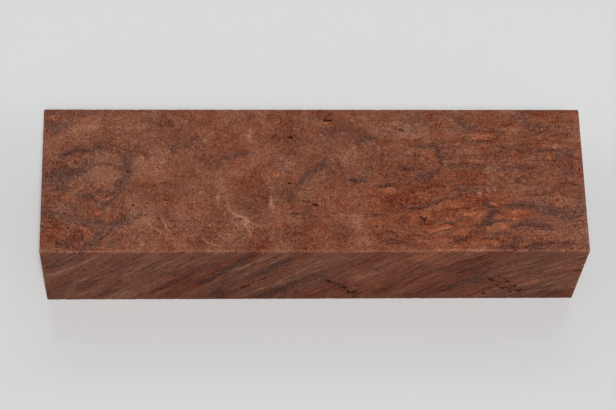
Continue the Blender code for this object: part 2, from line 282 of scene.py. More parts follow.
upperStraw = [
    (-57.5, 16, 8, 2.6, 0, 0.55), (-59.3, 4.6, 4, 2.6, -20, 0.7), (-50.8, 1.2, 6, 4, -30, 0.6),
    (-55.2, 2.2, 3, 2.4, 0, 0.45), (-52, -1.8, 3, 2, 0, 0.5), (-49, -3, 1.8, 3, -20, 0.5),
    (-51.4, -5, 2.6, 1.4, 10, 0.7), (-54, -4.8, 2.4, 1.4, 0, 0.6), (-45.6, -5, 3, 6, 0, 0.5),
    (-43, 5.5, 3, 2.4, 0, 0.45), (-38.5, 3, 7, 5, -20, 0.7), (-57, 12.6, 8, 5, 0, 0.35),
    (-47, 14, 8, 7, 0, 0.4), (-44.5, 1.6, 2, 2.4, 0, 0.4), (-18, 1.6, 4, 3, 0, 0.5),
    (-11.5, 15.2, 5, 3.4, 0, 0.4), (7.8, 6.4, 5, 4, 0, 0.6), (11, -13.6, 4.4, 8, 8, 0.75),
    (14, -7, 4, 4, 0, 0.5), (18.8, -3.4, 4, 2.4, 0, 0.55), (24, 7, 5, 4, 0, 0.45), (29, 6.2, 3, 3, 0, 0.5),
    (34.6, 13, 7, 4, 0, 0.5), (57.5, 11, 7, 4, 0, 0.55), (62, -5, 6, 3.4, 0, 0.6), (57.6, -7, 4, 3, 0, 0.4),
    (55, -15, 7, 2.4, 0, 0.45), (39.6, 10, 6, 2, 0, 0.35), (-42, -13, 8, 6, -40, 0.45),
    (-35.5, -14, 6, 4, -40, 0.35), (40, 6.2, 8, 2.4, 0, 0.35), (3, -4, 4, 4, 0, 0.25),
    (51.5, 12.4, 4, 3, 0, 0.4), (62.4, 12.6, 6, 2, 20, 0.45), (-63, -15.6, 5, 2.6, 0, 0.35),
    (39, -9, 5, 4, 15, 0.45), (57, -3, 5, 3, 0, 0.35), (47.5, -5, 6, 2, 0, 0.35),
    (65.6, -13.6, 3, 6, 0, 0.3), (-12, 6, 6, 4, 0, 0.25), (-16.2, 12, 1.5, 6, 0, 0.7),
    (-10.8, -5.8, 1.1, 5, 0, 0.8), (-24, -5.5, 1.5, 8, 0, 0.6), (-18.6, -9.8, 4, 1.6, -35, 0.6),
    (-16, -13, 1.8, 6, 15, 0.5), (-12.4, -12.6, 5, 1, -15, 0.5), (-31.4, -13, 3, 7, 30, 0.5),
    (-27.6, -3.6, 1, 0.9, 0, 0.9), (9.6, 7.2, 2, 4, 10, 0.5), (10.8, -13.6, 1.6, 7, 14, 0.6),
    (16, 12, 3, 2, 0, 0.3), (22.4, 11.6, 5, 2.2, 0, 0.3), (-19.6, -8.6, 5, 1.8, -45, 0.5),
    (-17.2, -12.4, 3, 5, 0, 0.4), (-14, -12.6, 4, 1.4, -15, 0.5), (-12.2, 15, 4.6, 4, 0, 0.5),
    (42, 9, 7, 1.4, 0, 0.4), (50, 14, 8, 1.4, 0, 0.35), (38.6, 5.2, 8, 1.4, 0, 0.4),
    (57, 6.4, 6, 1.4, 0, 0.35), (26, 12, 5, 1.6, 0, 0.3), (28.6, 6, 4, 4, 0, 0.3),
]
# Crisp lines, dark where the strength is below zero, and painted glints
upperLinesAndGlints = [
    (0.5, -0.5, [(-55, 3.9), (-51.7, 4.1), (-48.7, 3.9)]),
    (0.6, -0.3, [(-62.5, 5.9), (-61.2, 7), (-59.2, 7.6), (-57.5, 8.2), (-55.4, 7.6), (-54.9, 5.6)]),
    (0.5, 0.5, [(-67.5, -8), (-64, -8.2), (-61.2, -9.1)]),
    (0.5, -0.6, [(-67.5, -8.8), (-63, -9.2), (-59, -10.4)]),
    (0.35, 0.8, [(-57.5, -18.2), (-50, -18.3)]),
    (0.7, 1.1, [(-42, -10.7), (-39.2, -13.6), (-36.2, -15.7)]),
    (0.7, 1.0, [(-38.3, -9), (-36.8, -12.6), (-34.6, -16.5)]),
    (0.4, 1.0, [(-51.8, -5.6), (-49.2, -4), (-48.3, -2)]),
    (0.4, 0.8, [(-54.5, -3.6), (-52, -5.6)]),
    (0.5, -0.7, [(-57.8, -4.6), (-54.4, -3.2), (-51.4, -1.6), (-49.4, -0.6)]),
    (0.6, -0.6, [(-50.2, -14.2), (-52.6, -16.2), (-56.2, -18.6)]),
    (0.4, -0.5, [(-60, -15.6), (-57.4, -16.2), (-55.4, -17.6)]),
    (1.0, 1.1, [(-21.8, -6.1), (-20.6, -9), (-17.7, -10.3), (-15.6, -12), (-12.7, -13.2)]),
    (0.8, 1.1, [(-17.7, -10.6), (-16.8, -13.2), (-15.6, -16.5)]),
    (0.7, 1.1, [(-29, -13.6), (-27.6, -16.3), (-24.8, -17.9), (-22, -18.4)]),
    (0.5, 0.7, [(-32.2, -9.5), (-29.3, -12), (-28.4, -14.6)]),
    (0.5, 0.7, [(-32.2, -15.3), (-28, -14.9)]),
    (1.0, 1.0, [(-16.2, 14.3), (-16, 10.1)]),
    (0.9, 1.1, [(-10.8, -4), (-11, -7.8)]),
    (0.7, 0.6, [(-24, -3), (-23.8, -9)]),
    (0.6, -0.6, [(-14.7, 8), (-11.8, 10.7), (-8.5, 12.8)]),
    (0.35, -0.7, [(-4.3, -2.8), (-1.6, -3.2), (0.5, -3)]),
    (0.5, -0.7, [(-6.8, -9.5), (-4.6, -9.4), (-2.7, -9.1)]),
    (0.4, -0.5, [(-10.5, -0.4), (-7.6, 0.4), (-4.4, 0)]),
    (0.35, 0.7, [(-1.2, -9.6), (6, -9.9), (14.2, -10)]),
    (0.35, -0.35, [(0, -10.4), (7, -10.6), (13, -10.5)]),
    (0.5, -0.9, [(13.6, -10), (15, -9.8), (16.8, -9.9)]),
    (0.7, -1.0, [(15, -1.6), (16.6, -1.9), (18.4, -1.8), (20.6, -1.1)]),
    (0.4, -0.8, [(11.8, -4.9), (13.4, -4.6), (14.9, -4.7), (15.4, -3.4)]),
    (0.4, 0.8, [(15.5, -3.6), (17.2, -5.3), (18.8, -7)]),
    (0.5, -0.6, [(20.6, -7.4), (23.4, -8.2), (26, -8.2), (28.8, -7.4), (31.3, -6.3), (34.5, -4.9)]),
    (0.5, 1.0, [(27.2, -15.1), (30.5, -14), (34.5, -12.8)]),
    (0.5, -0.8, [(26, -14.6), (29, -13.4), (34.5, -11.6)]),
    (0.5, -0.7, [(17.2, -16.4), (19.4, -16.6), (21.8, -17.2)]),
    (0.5, -0.6, [(18.2, -14.5), (20.2, -14.4), (22.8, -14.9)]),
    (0.6, -0.7, [(7.2, -0.3), (9.4, -0.2), (11, -0.6), (12.4, 0.1)]),
    (0.5, -0.8, [(20.6, 2.4), (22.2, 2.8), (24.2, 2.5)]),
    (0.5, -0.5, [(11.6, 1.2), (12.2, 2.6), (14.2, 3.8), (17, 3.9), (19, 3)]),
    (0.5, -0.3, [(27, 9.2), (29.8, 8.8), (31.2, 8), (31.7, 6), (31.5, 3.9), (29.7, 2.2), (27.4, 1.6)]),
    (0.4, -0.6, [(31.8, 6), (33, 6.6), (35.5, 6.6)]),
    (0.4, -0.6, [(24.6, 9.9), (28, 10.1), (31.9, 9.7)]),
    (0.35, -0.5, [(0.5, 14.5), (5, 14.7), (9.8, 14.6)]),
    (0.4, -0.4, [(14.6, 13), (18.4, 13.6), (20.8, 12.2), (20.6, 10.2), (17.6, 9.6), (14.8, 10.2)]),
    (0.4, -0.6, [(16.2, 6.5), (17.7, 6.4)]),
    (0.4, -0.6, [(29.7, -2), (32, -2.4), (34.8, -2.2)]),
    (0.6, -0.7, [(24, -11.6), (26.8, -12.6), (28.6, -12.4)]),
    (0.45, -0.7, [(33.5, 6.4), (38.5, 6.9), (43.8, 7.1)]),
    (0.45, -0.6, [(33.5, 3.9), (38.5, 4.2), (43.4, 4)]),
    (0.6, -0.7, [(35.6, 17.4), (36.2, 16.2), (37.6, 14.9), (39.8, 13.9), (44.8, 13.1), (51, 13.3)]),
    (0.4, -0.6, [(51, 7.6), (56.8, 7.8), (62.7, 7.8), (67.2, 8.1)]),
    (0.6, -0.6, [(46.4, 3.2), (49, 3.6), (51.8, 3), (54, 3.2), (56.8, 3.9)]),
    (0.4, -0.5, [(53.8, 5.6), (58, 5.1), (63.5, 5.4)]),
    (0.5, -0.6, [(48.2, 1.3), (50.2, -0.3), (51.6, -1.4)]),
    (0.7, -1.0, [(62.2, -0.5), (64, -1.1), (65.9, -1.9)]),
    (0.4, -0.7, [(33.5, -8.4), (36.4, -8), (40.6, -8.3)]),
    (0.5, -0.9, [(32.5, -12.8), (34.4, -12.2), (36, -11.3), (39.8, -10.3)]),
    (0.5, -0.7, [(41.4, -12.4), (43.6, -9.6), (46, -7.8), (49.3, -6.8), (54.8, -7.4), (58.5, -7.8),
                 (64.8, -9.9)]),
    (0.7, -1.0, [(41.4, -12.7), (43.2, -12.2), (44.8, -11.5), (48, -10.9)]),
    (0.9, -0.8, [(47.8, -13.4), (50.6, -12.3), (54.3, -12.8), (57, -12.9), (59, -13.5)]),
    (0.5, -0.8, [(42.4, -15.4), (45, -14.8), (48, -14.8)]),
    (0.5, -0.9, [(33.9, -17.6), (35.2, -16.8), (36.8, -16.1), (38.9, -15.2)]),
    (0.5, -0.8, [(45.6, -18), (50.2, -18.8), (54.3, -17.7), (62.6, -17.3)]),
    (0.5, -0.6, [(56.2, -8), (60, -8.6), (67.4, -9.4)]),
    (0.5, -0.6, [(33.5, -2), (37.7, -3.1), (41.6, -3.2), (44.4, -2.4)]),
    (0.4, -0.5, [(36, -4.6), (39.5, -5), (43, -4.8)]),
    (0.4, -0.5, [(34.6, -6.2), (38, -6), (42, -6.6)]),
    (0.45, 0.8, [(34, -9.6), (37.4, -9.2), (41, -9.6)]),
    (0.45, 0.8, [(33.6, -14.6), (37, -13.6), (40.4, -13.6)]),
    # painted glints on the resin
    (0.45, 2.4, [(39.9, -2.8), (40.4, -3.7)]),
    (0.45, 2.4, [(40.7, -3.1), (41.5, -4.3)]),
    (0.45, 2.4, [(42.8, -2.7), (43.6, -3.5)]),
    (0.45, 2.4, [(44.6, -2.6), (45.3, -3.5)]),
    (0.4, -0.5, [(52, 16.8), (56, 17.6), (61, 17.2)]),
    (0.4, -0.5, [(50, 10), (55, 10.4), (59, 9.8)]),
    (0.4, -0.5, [(57, 1.8), (61, 1.2), (65, 2)]),
    (0.4, -0.5, [(52, -4.2), (56, -4.4), (58, -3.6)]),
    (0.5, -0.6, [(60, -11), (64, -11.6), (67.4, -11.2)]),
    (0.4, -0.5, [(51, -15), (56, -15.4), (60, -14.8)]),
    (0.7, 0.8, [(-24.6, -9.4), (-25.4, -12.6), (-23.6, -15.4), (-20.4, -16.2), (-18, -14.4)]),
    (0.5, 0.5, [(-22.4, -13), (-20.6, -11.6), (-18.8, -12.8), (-19.6, -14.8), (-21.8, -14.8),
                 (-22.4, -13)]),
    (0.5, 0.5, [(-16.4, -14.4), (-14.6, -15.6), (-14.2, -18)]),
    (0.5, 0.4, [(-30.6, -12), (-32.4, -15.6), (-32, -18.6)]),
    (0.6, -0.5, [(-67.5, -3), (-62, -2.4), (-57.8, -2.8)]),
    (0.6, -0.5, [(-66.8, -13), (-62, -13.6), (-57.6, -14.6)]),
    (0.6, -0.6, [(-67, -16.6), (-63, -17), (-59.6, -18.6)]),
    (0.7, -0.4, [(-58, -10.6), (-53, -11.4), (-48, -11), (-44, -10.4)]),
    (0.6, -0.4, [(-47, -8.2), (-44.6, -7.6), (-41.6, -8.4)]),
    # the sanded front edge: paler where it wore, with a painted highlight and painted glints where it
    # catches the light
    (0.45, 0.8, [(-67, -19.4), (-56, -19.4), (-45, -19.4)]),
    (0.35, 0.4, [(-44, -19.4), (-22, -19.4), (-4, -19.4)]),
    (0.4, 1.2, [(27, -19.4), (38, -19.4), (50, -19.4)]), (0.5, 2.4, [(30, -19.3), (30.9, -19.3)]),
    (0.5, 2.4, [(33.6, -19.3), (34.4, -19.2)]), (0.5, 2.4, [(40.4, -19.3), (41.6, -19.3)]),
    (0.5, 2.4, [(43.8, -19.1), (44.4, -19.2)]), (0.5, 2.2, [(46.8, -19.3), (47.6, -19.3)]),
    (0.4, 0.9, [(11.4, -19.3), (10.6, -18), (9.8, -16.4)]),
    (0.45, -0.6, [(36.8, 10.9), (40.8, 10.3), (44.8, 10.7)]),
    (0.45, -0.6, [(45.8, 15.4), (50.6, 15), (55.4, 15.6)]),
    (0.45, -0.6, [(33.6, 9.2), (36.6, 9.5), (40, 9.2)]), (0.4, -0.6, [(46.8, 6.6), (51, 6.3), (54.6, 6.7)]),
    (0.4, -0.6, [(20.8, 11.4), (24.6, 11), (28.4, 11.6)]),
    (0.4, -0.5, [(58, 11.8), (62, 12.4), (66.4, 12)]),
    (0.4, 0.7, [(38.4, 12), (42, 12.2), (45.4, 11.8)]),
    (0.4, 0.7, [(46.4, 13.9), (50.6, 14.2), (54.6, 13.8)]),
    (0.4, 0.6, [(35, 8), (39, 8.3), (43.4, 8)]), (0.4, 0.6, [(56.4, 9.2), (60.6, 8.9), (64.6, 9.5)]),
    # pale flecks: painted glints on the resin
    (0.45, 1.8, [(66.8, -8.8), (67, -9.6)]), (0.45, 1.6, [(66.6, -11.4), (66.9, -12)]),
    (0.4, 1.8, [(66.9, -14), (67.1, -14.8)]),
    (0.45, 1.6, [(66.7, -16.6), (67, -17.4)]), (0.5, 2.2, [(66, 18.9), (66.5, 18.8)]),
    (0.8, 1.6, [(-28.7, -3.2), (-28, -3.6)]),
    (0.45, 1.6, [(-26.6, -12.2), (-26, -12.6)]), (0.4, 1.4, [(-45.2, -12.6), (-44.6, -13)]),
    (0.4, 1.6, [(54, -15.6), (54.4, -16.2)]),
    (0.4, 1.6, [(56.4, -15.9), (56.8, -16.4)]), (0.4, 1.6, [(58.6, -16.8), (59, -17.2)]),
    (0.4, 1.4, [(52.2, -16), (52.8, -15.8)]),
]

# Eyes of the burl: x, y, radius, strength. A pin knot is a small one.
upperEyes = [
    (-66.0, 2.0, 1.4, 1.0), (-59.2, 5.0, 2.6, 0.5), (-50.6, -4.9, 1.1, 0.9), (-53.7, -4.9, 0.9, 0.5),
    (-53.7, -8.8, 1.0, 0.8),
    (-61.2, -4.9, 1.5, 0.5), (-63.6, -11.0, 1.6, 0.7), (-60.8, -13.2, 1.5, 0.6), (-48.7, -10.1, 1.4, 0.7),
    (-42.5, -2.0, 2.3, 0.45),
    (-51.9, -0.9, 1.1, 0.7), (-50.5, 0.8, 1.0, 0.9), (-45.0, 1.8, 1.0, 0.8), (-43.5, 0.4, 1.0, 0.8),
    (-43.1, 5.7, 1.2, 0.8),
    (-38.8, 3.4, 2.0, 0.5), (-39.2, -11.5, 1.0, 0.9), (-44.2, -12.2, 1.0, 0.9), (-39.2, 16.8, 1.1, 0.9),
    (-48.5, 14.3, 1.0, 1.0),
    (-34.2, 15.1, 1.1, 0.9), (-36.9, 10.2, 1.1, 1.0), (-49.8, 8.4, 0.9, 0.8), (-63.8, -0.7, 1.3, 0.6),
    (-46.5, -13.8, 1.4, 0.5),
    (-41.6, -6.4, 1.1, 0.7), (-38.2, -13.8, 1.0, 0.7), (-57.2, -13.6, 1.2, 0.6), (-64.6, 17.2, 1.4, 0.6),
    (-47.0, 11.5, 0.9, 0.9),
    (-30.0, 15.5, 1.1, 0.9), (-28.5, 12.8, 1.0, 0.6), (-19.3, 4.1, 1.1, 0.8), (-9.3, 1.4, 1.2, 0.7),
    (-6.2, 1.6, 1.0, 0.7),
    (-6.2, -1.1, 1.5, 0.5), (-18.5, -10.7, 1.1, 0.5), (-19.3, -13.4, 1.2, 0.6), (-26.4, -13.4, 1.2, 0.6),
    (-8.4, -12.8, 1.3, 0.7),
    (-7.0, -7.4, 1.2, 0.6), (-2.9, -7.0, 1.2, 0.6), (-7.5, 14.7, 0.9, 0.9), (-15.2, -13.6, 1.4, 0.6),
    (-12.3, 17.5, 0.9, 0.8),
    (-23.8, 10.4, 1.0, 0.7), (-28.4, 7.2, 1.1, 0.6), (-13.0, -4.4, 1.1, 0.6), (-30.6, -9.0, 1.1, 0.5),
    (-22.0, -16.6, 0.9, 0.6),
    (18.0, 11.6, 1.6, 0.5), (15.0, 5.2, 0.9, 0.7), (16.2, 1.6, 1.6, 0.5), (21.8, 1.4, 1.2, 0.7),
    (18.8, -3.0, 1.3, 0.8),
    (28.0, 6.0, 2.9, 0.35), (0.9, -7.0, 0.9, 0.9), (15.2, -13.1, 2.0, 0.8), (20.5, -7.6, 1.0, 0.7),
    (21.8, -11.8, 1.3, 0.6),
    (26.3, -4.4, 1.3, 0.7), (8.2, 6.4, 1.1, 0.6), (18.4, 15.5, 0.9, 0.6), (28.6, 17.8, 1.3, 0.7),
    (8.6, 12.6, 1.0, 0.6),
    (5.2, 8.6, 1.1, 0.5), (12.6, -17.4, 1.0, 0.5), (32.0, 14.6, 1.0, 0.6), (24.6, -1.6, 0.9, 0.6),
    (4.0, -13.0, 0.9, 0.5),
    (37.9, 16.8, 1.3, 0.6), (42.7, 11.6, 1.1, 0.6), (58.9, 5.5, 1.2, 1.0), (55.0, 1.4, 1.1, 0.9),
    (51.4, 1.4, 1.1, 0.6),
    (60.6, -5.6, 2.3, 0.7), (34.4, 1.4, 1.4, 0.7), (41.8, 1.5, 1.1, 0.8), (45.4, -2.0, 0.9, 0.8),
    (45.0, -7.0, 1.0, 0.6),
    (50.2, -8.8, 1.3, 0.6), (45.6, -10.2, 1.1, 0.7), (49.5, -10.9, 1.1, 0.7), (42.9, -13.6, 1.1, 0.6),
    (46.4, -13.0, 1.0, 0.7),
    (65.4, -12.6, 1.1, 1.0), (58.1, -15.9, 1.1, 0.8), (43.7, -17.2, 1.1, 0.6), (60.8, 17.2, 1.3, 0.6),
    (64.3, 7.2, 1.0, 0.8),
    (47.4, 0.8, 1.1, 0.6), (62.4, -2.4, 1.1, 0.7), (38.6, 0.4, 1.1, 0.5), (52.6, 5.6, 0.9, 0.5),
    (64.0, 13.4, 1.0, 0.5),
    # pin knots without a ring of their own
    (-34.0, 17.4, 1.0, 0.9), (-34.7, 9.9, 0.9, 1.0), (-34.4, 8.4, 0.9, 0.9), (-40.6, 10.6, 0.9, 0.7),
    (-37.7, 5.1, 0.9, 0.7),
    (-41.0, -12.9, 0.9, 0.8), (-35.4, -12.4, 0.9, 0.8), (-38.7, -4.9, 0.9, 0.8), (-36.5, -6.5, 0.9, 0.8),
    (-21.9, 15.3, 0.9, 0.7),
    (-10.0, 6.4, 0.9, 0.8), (-24.0, -15.4, 1.0, 0.8), (-48.6, -1.0, 0.8, 0.8), (-52.6, 3.0, 0.8, 0.7),
    (-66.4, -11.6, 0.9, 0.7),
    (-30.4, -15.8, 0.9, 0.7), (-14.6, 1.0, 0.9, 0.7), (6.4, 2.2, 0.9, 0.7), (13.0, 8.6, 0.9, 0.7),
    (36.4, 9.8, 0.9, 0.8),
    (45.6, 10.2, 0.9, 0.8), (47.2, 15.4, 0.9, 0.7), (56.6, 10.0, 0.9, 0.7), (37.2, -8.4, 0.9, 0.8),
    (40.6, -11.0, 0.9, 0.8),
    (54.6, -2.2, 0.9, 0.7), (60.2, 1.6, 0.9, 0.7), (52.4, -14.6, 0.9, 0.8), (62.0, -14.2, 0.9, 0.7),
    (38.0, -16.8, 0.9, 0.8),
]

# Broad warm wood, and greyer wood where the strength is below zero
upperWarmth = [
    (33, -10, 34, 18, 8, 0.7), (45, 8, 28, 14, 0, 0.4), (-53, 2, 32, 30, 0, -0.6),
    (63, -9, 10, 14, 0, -0.5), (28.6, 6, 5, 5, 0, 0.4),
]

# Lines that the growth follows over the upper face, each with the y it would lie at if it were level
growth = [
    (3.5, [(-67, 1), (-61, 1.5), (-56, 3.5), (-53, 4.4), (-47, 4.2)]),
    (-2, [(-58, -4.5), (-53, -2), (-49, 0)]),
    (-12, [(-57, -18.8), (-52.5, -15), (-48, -12), (-43, -9), (-38, -7)]),
    (-8, [(-67.5, -7.8), (-61, -9), (-56, -11), (-51, -11.5)]), (7, [(-64, 6), (-60, 7.5), (-56, 8.3)]),
    (15.5, [(-67, 18), (-62, 15), (-56, 14)]), (6, [(-24, 4.5), (-20, 6.5), (-15, 7.3)]),
    (1.7, [(-4, -1.6), (-1, 1.6), (3, 5.5)]), (-3.6, [(-10, -4.5), (-5, -3), (0, -3)]),
    (-0.7, [(7, -0.2), (15, -1.5), (20, -1)]), (-9.8, [(0, -9.8), (14, -10)]),
    (-5, [(20, -8.5), (28, -7), (34, -5), (38, -3.6)]), (-10, [(26, -14.5), (34, -12), (40, -9)]),
    (-12.8, [(34, -17), (41, -13), (44, -11)]),
    (-8, [(46, -8), (51, -6.8), (55, -7.2), (60, -9), (67, -9)]),
    (-12.5, [(46, -11.5), (50, -12), (58, -13.5), (67, -12)]),
    (-17.5, [(44, -19), (48, -17.5), (55, -17), (67, -17)]),
    (6.9, [(33.5, 6), (40, 6.4), (50, 7), (60, 7.5), (67, 7.5)]),
    (2, [(33.5, 2), (42, 3), (50, 3.5), (58, 2), (67, -1)]),
    (12.5, [(33.5, 11), (45, 13), (52, 12.5), (60, 13.5), (67, 14)]),
]

# Front face: x along, z up from the lower edge
frontSmoke = [
    (3.2, 0.50, [(-60, 26.5), (-57, 29.5)]),
    (2.4, 0.50, [(-66, 21), (-63, 24.5), (-61.5, 26)]),
    (3.2, 0.60, [(-60, 6), (-57, 9), (-55, 11)]),
    (3.4, 0.65, [(-67.5, 4), (-64, 2)]),
    (2.6, 0.45, [(-54, 2), (-50, 6)]),
    (2.2, 0.50, [(-48.5, 17), (-46, 20.5), (-44, 24)]),
    (0.8, 0.60, [(-43, 19), (-40, 23)]),
    (0.6, 0.60, [(-41, 17), (-38, 22)]),
    (3.5, 0.35, [(-37, 16), (-34, 19)]),
    (2.0, 0.75, [(-28.3, 10.7), (-26.5, 12.8), (-22.3, 18.9), (-19.2, 22.8), (-16, 29.6)]),
    (1.0, 0.70, [(-12.9, 23.4), (-9.9, 27.3), (-8.6, 29)]),
    (0.7, 0.60, [(-19, 16.5), (-16.2, 21.3), (-13.5, 25)]),
    (3.0, 0.70, [(-16.5, 13.6), (-14.4, 16.8), (-9.3, 22.2), (-6.5, 26)]),
    (2.8, 0.70, [(-14.3, 1), (-12.3, 3.5), (-7.5, 8.9), (-4.6, 12.4), (0.5, 16.5)]),
    (2.0, 0.35, [(-19, 3), (-15.5, 7)]),
    (4.0, 0.40, [(-24.5, 1.5), (-22.5, 7.5)]),
    (3.0, 0.45, [(1.5, 15.5), (3.5, 18.5)]),
    (2.2, 0.45, [(6.5, 20.5), (9.5, 24)]),
    (1.6, 0.50, [(2.8, 14.6), (4, 11.6), (6.6, 9.4), (8.4, 6.6), (10.2, 3.4), (11, 1.4)]),
    (1.6, 0.45, [(14.2, 19.6), (16, 18.8)]),
    (2.0, 0.45, [(22.5, 12.5), (24.5, 14.5)]),
    (2.0, 0.40, [(27.5, 17.5), (29.5, 19.5)]),
    (1.5, 0.55, [(36, 16.5), (40.5, 19.5), (44, 23.5)]),
    (3.0, 0.60, [(34.5, 5.5), (38, 10), (41, 14.5), (43, 16.5)]),
    (2.6, 0.45, [(41, 10), (44.5, 13.5)]),
    (2.4, 0.50, [(51.5, 17.5), (54, 20)]),
    (2.2, 0.45, [(54, 24), (57, 28), (59, 29.8)]),
    (2.4, 0.55, [(48, 5.6), (52, 7.2)]),
    (3.0, 0.55, [(53.4, 5), (53.6, 2.4)]),
    (1.2, 0.40, [(58, 9), (61, 12), (65, 15)]),
    (1.0, 0.40, [(60.5, 3), (64, 6)]),
]
# Darker front wood, and painted shade round the clusters of pockets: the patch at x 49.4 and the four after
# it
frontUmberAndPocketShade = [
    (-35, 7, 14, 8, 40, 0.4), (-10, 12, 7, 2, 50, 0.6), (-23, 14, 8, 2, 55, 0.6), (-56, 4, 12, 5, 30, 0.35),
    (20, 6, 14, 6, 30, 0.45), (44, 6, 8, 5, 30, 0.4), (-24, 3, 8, 5, 0, 0.4), (2, 8, 10, 6, 40, 0.3),
    (30, 3, 16, 4, 0, 0.3), (36, 24, 10, 4, 35, 0.25), (60, 3, 12, 4, 20, 0.35), (49.4, 8, 9, 4, -40, 0.5),
    (51.4, 6.6, 4, 2.6, 0, 0.5), (45, 12.4, 3, 2, 0, 0.5), (9.4, 5.4, 6, 2.6, -40, 0.5),
    (4.6, 11, 4, 1.4, -42, 0.5),
]
frontEmber = [
    (-22, 24, 12, 2.4, 55, 0.5), (-14, 25, 8, 2, 55, 0.5), (-32, 9, 8, 4, 45, 0.4),
    (-12, 17, 3, 1.5, 50, 0.5), (27, 27, 10, 5, 30, 0.6),
    (30, 21, 9, 5, 35, 0.5), (29, 8, 7, 4, 60, 0.35), (16, 27, 7, 3, 30, 0.35), (56, 11, 9, 4, 35, 0.4),
    (-26, 17, 9, 2, 55, 0.4),
    (-6, 29, 10, 1.6, 10, 0.4), (42, 4, 7, 3, 30, 0.4), (8, 16, 5, 3, 40, 0.3), (51, 24, 8, 3, 35, 0.35),
]
frontStraw = [
    (29, 25.5, 9, 6, 30, 0.6), (33, 21.5, 7, 4, 35, 0.5), (20.5, 20.5, 6, 4.4, 40, 0.6),
    (11, 15, 4, 6, 20, 0.6), (15.5, 16.6, 5, 3.4, 30, 0.6), (14.5, 11, 4, 4, 0, 0.45),
    (55, 12, 10, 5, 35, 0.6), (64, 22, 9, 6, 35, 0.5), (46, 26, 6, 4, 35, 0.4), (-60, 21, 6, 3, 45, 0.45),
    (-46, 13, 8, 3, 50, 0.4), (3, 24, 8, 4, 45, 0.35), (-57, 13, 7, 3, 40, 0.35), (63, 12, 8, 3, 35, 0.35),
]
frontStrawLines = [
    (1.8, 0.55, [(-66.5, 16), (-61, 20), (-56, 24.5), (-53, 28.5)]),
    (1.6, 0.45, [(-48, 12), (-44, 17), (-40, 22), (-37, 26)]),
    (1.6, 0.55, [(-21, 13), (-16, 19), (-12, 24.5), (-9, 29)]),
    (1.4, 0.50, [(-14, 3), (-10, 8), (-4, 14)]),
    (1.5, 0.50, [(-31, 13), (-27, 19), (-23, 25), (-21, 29)]),
]

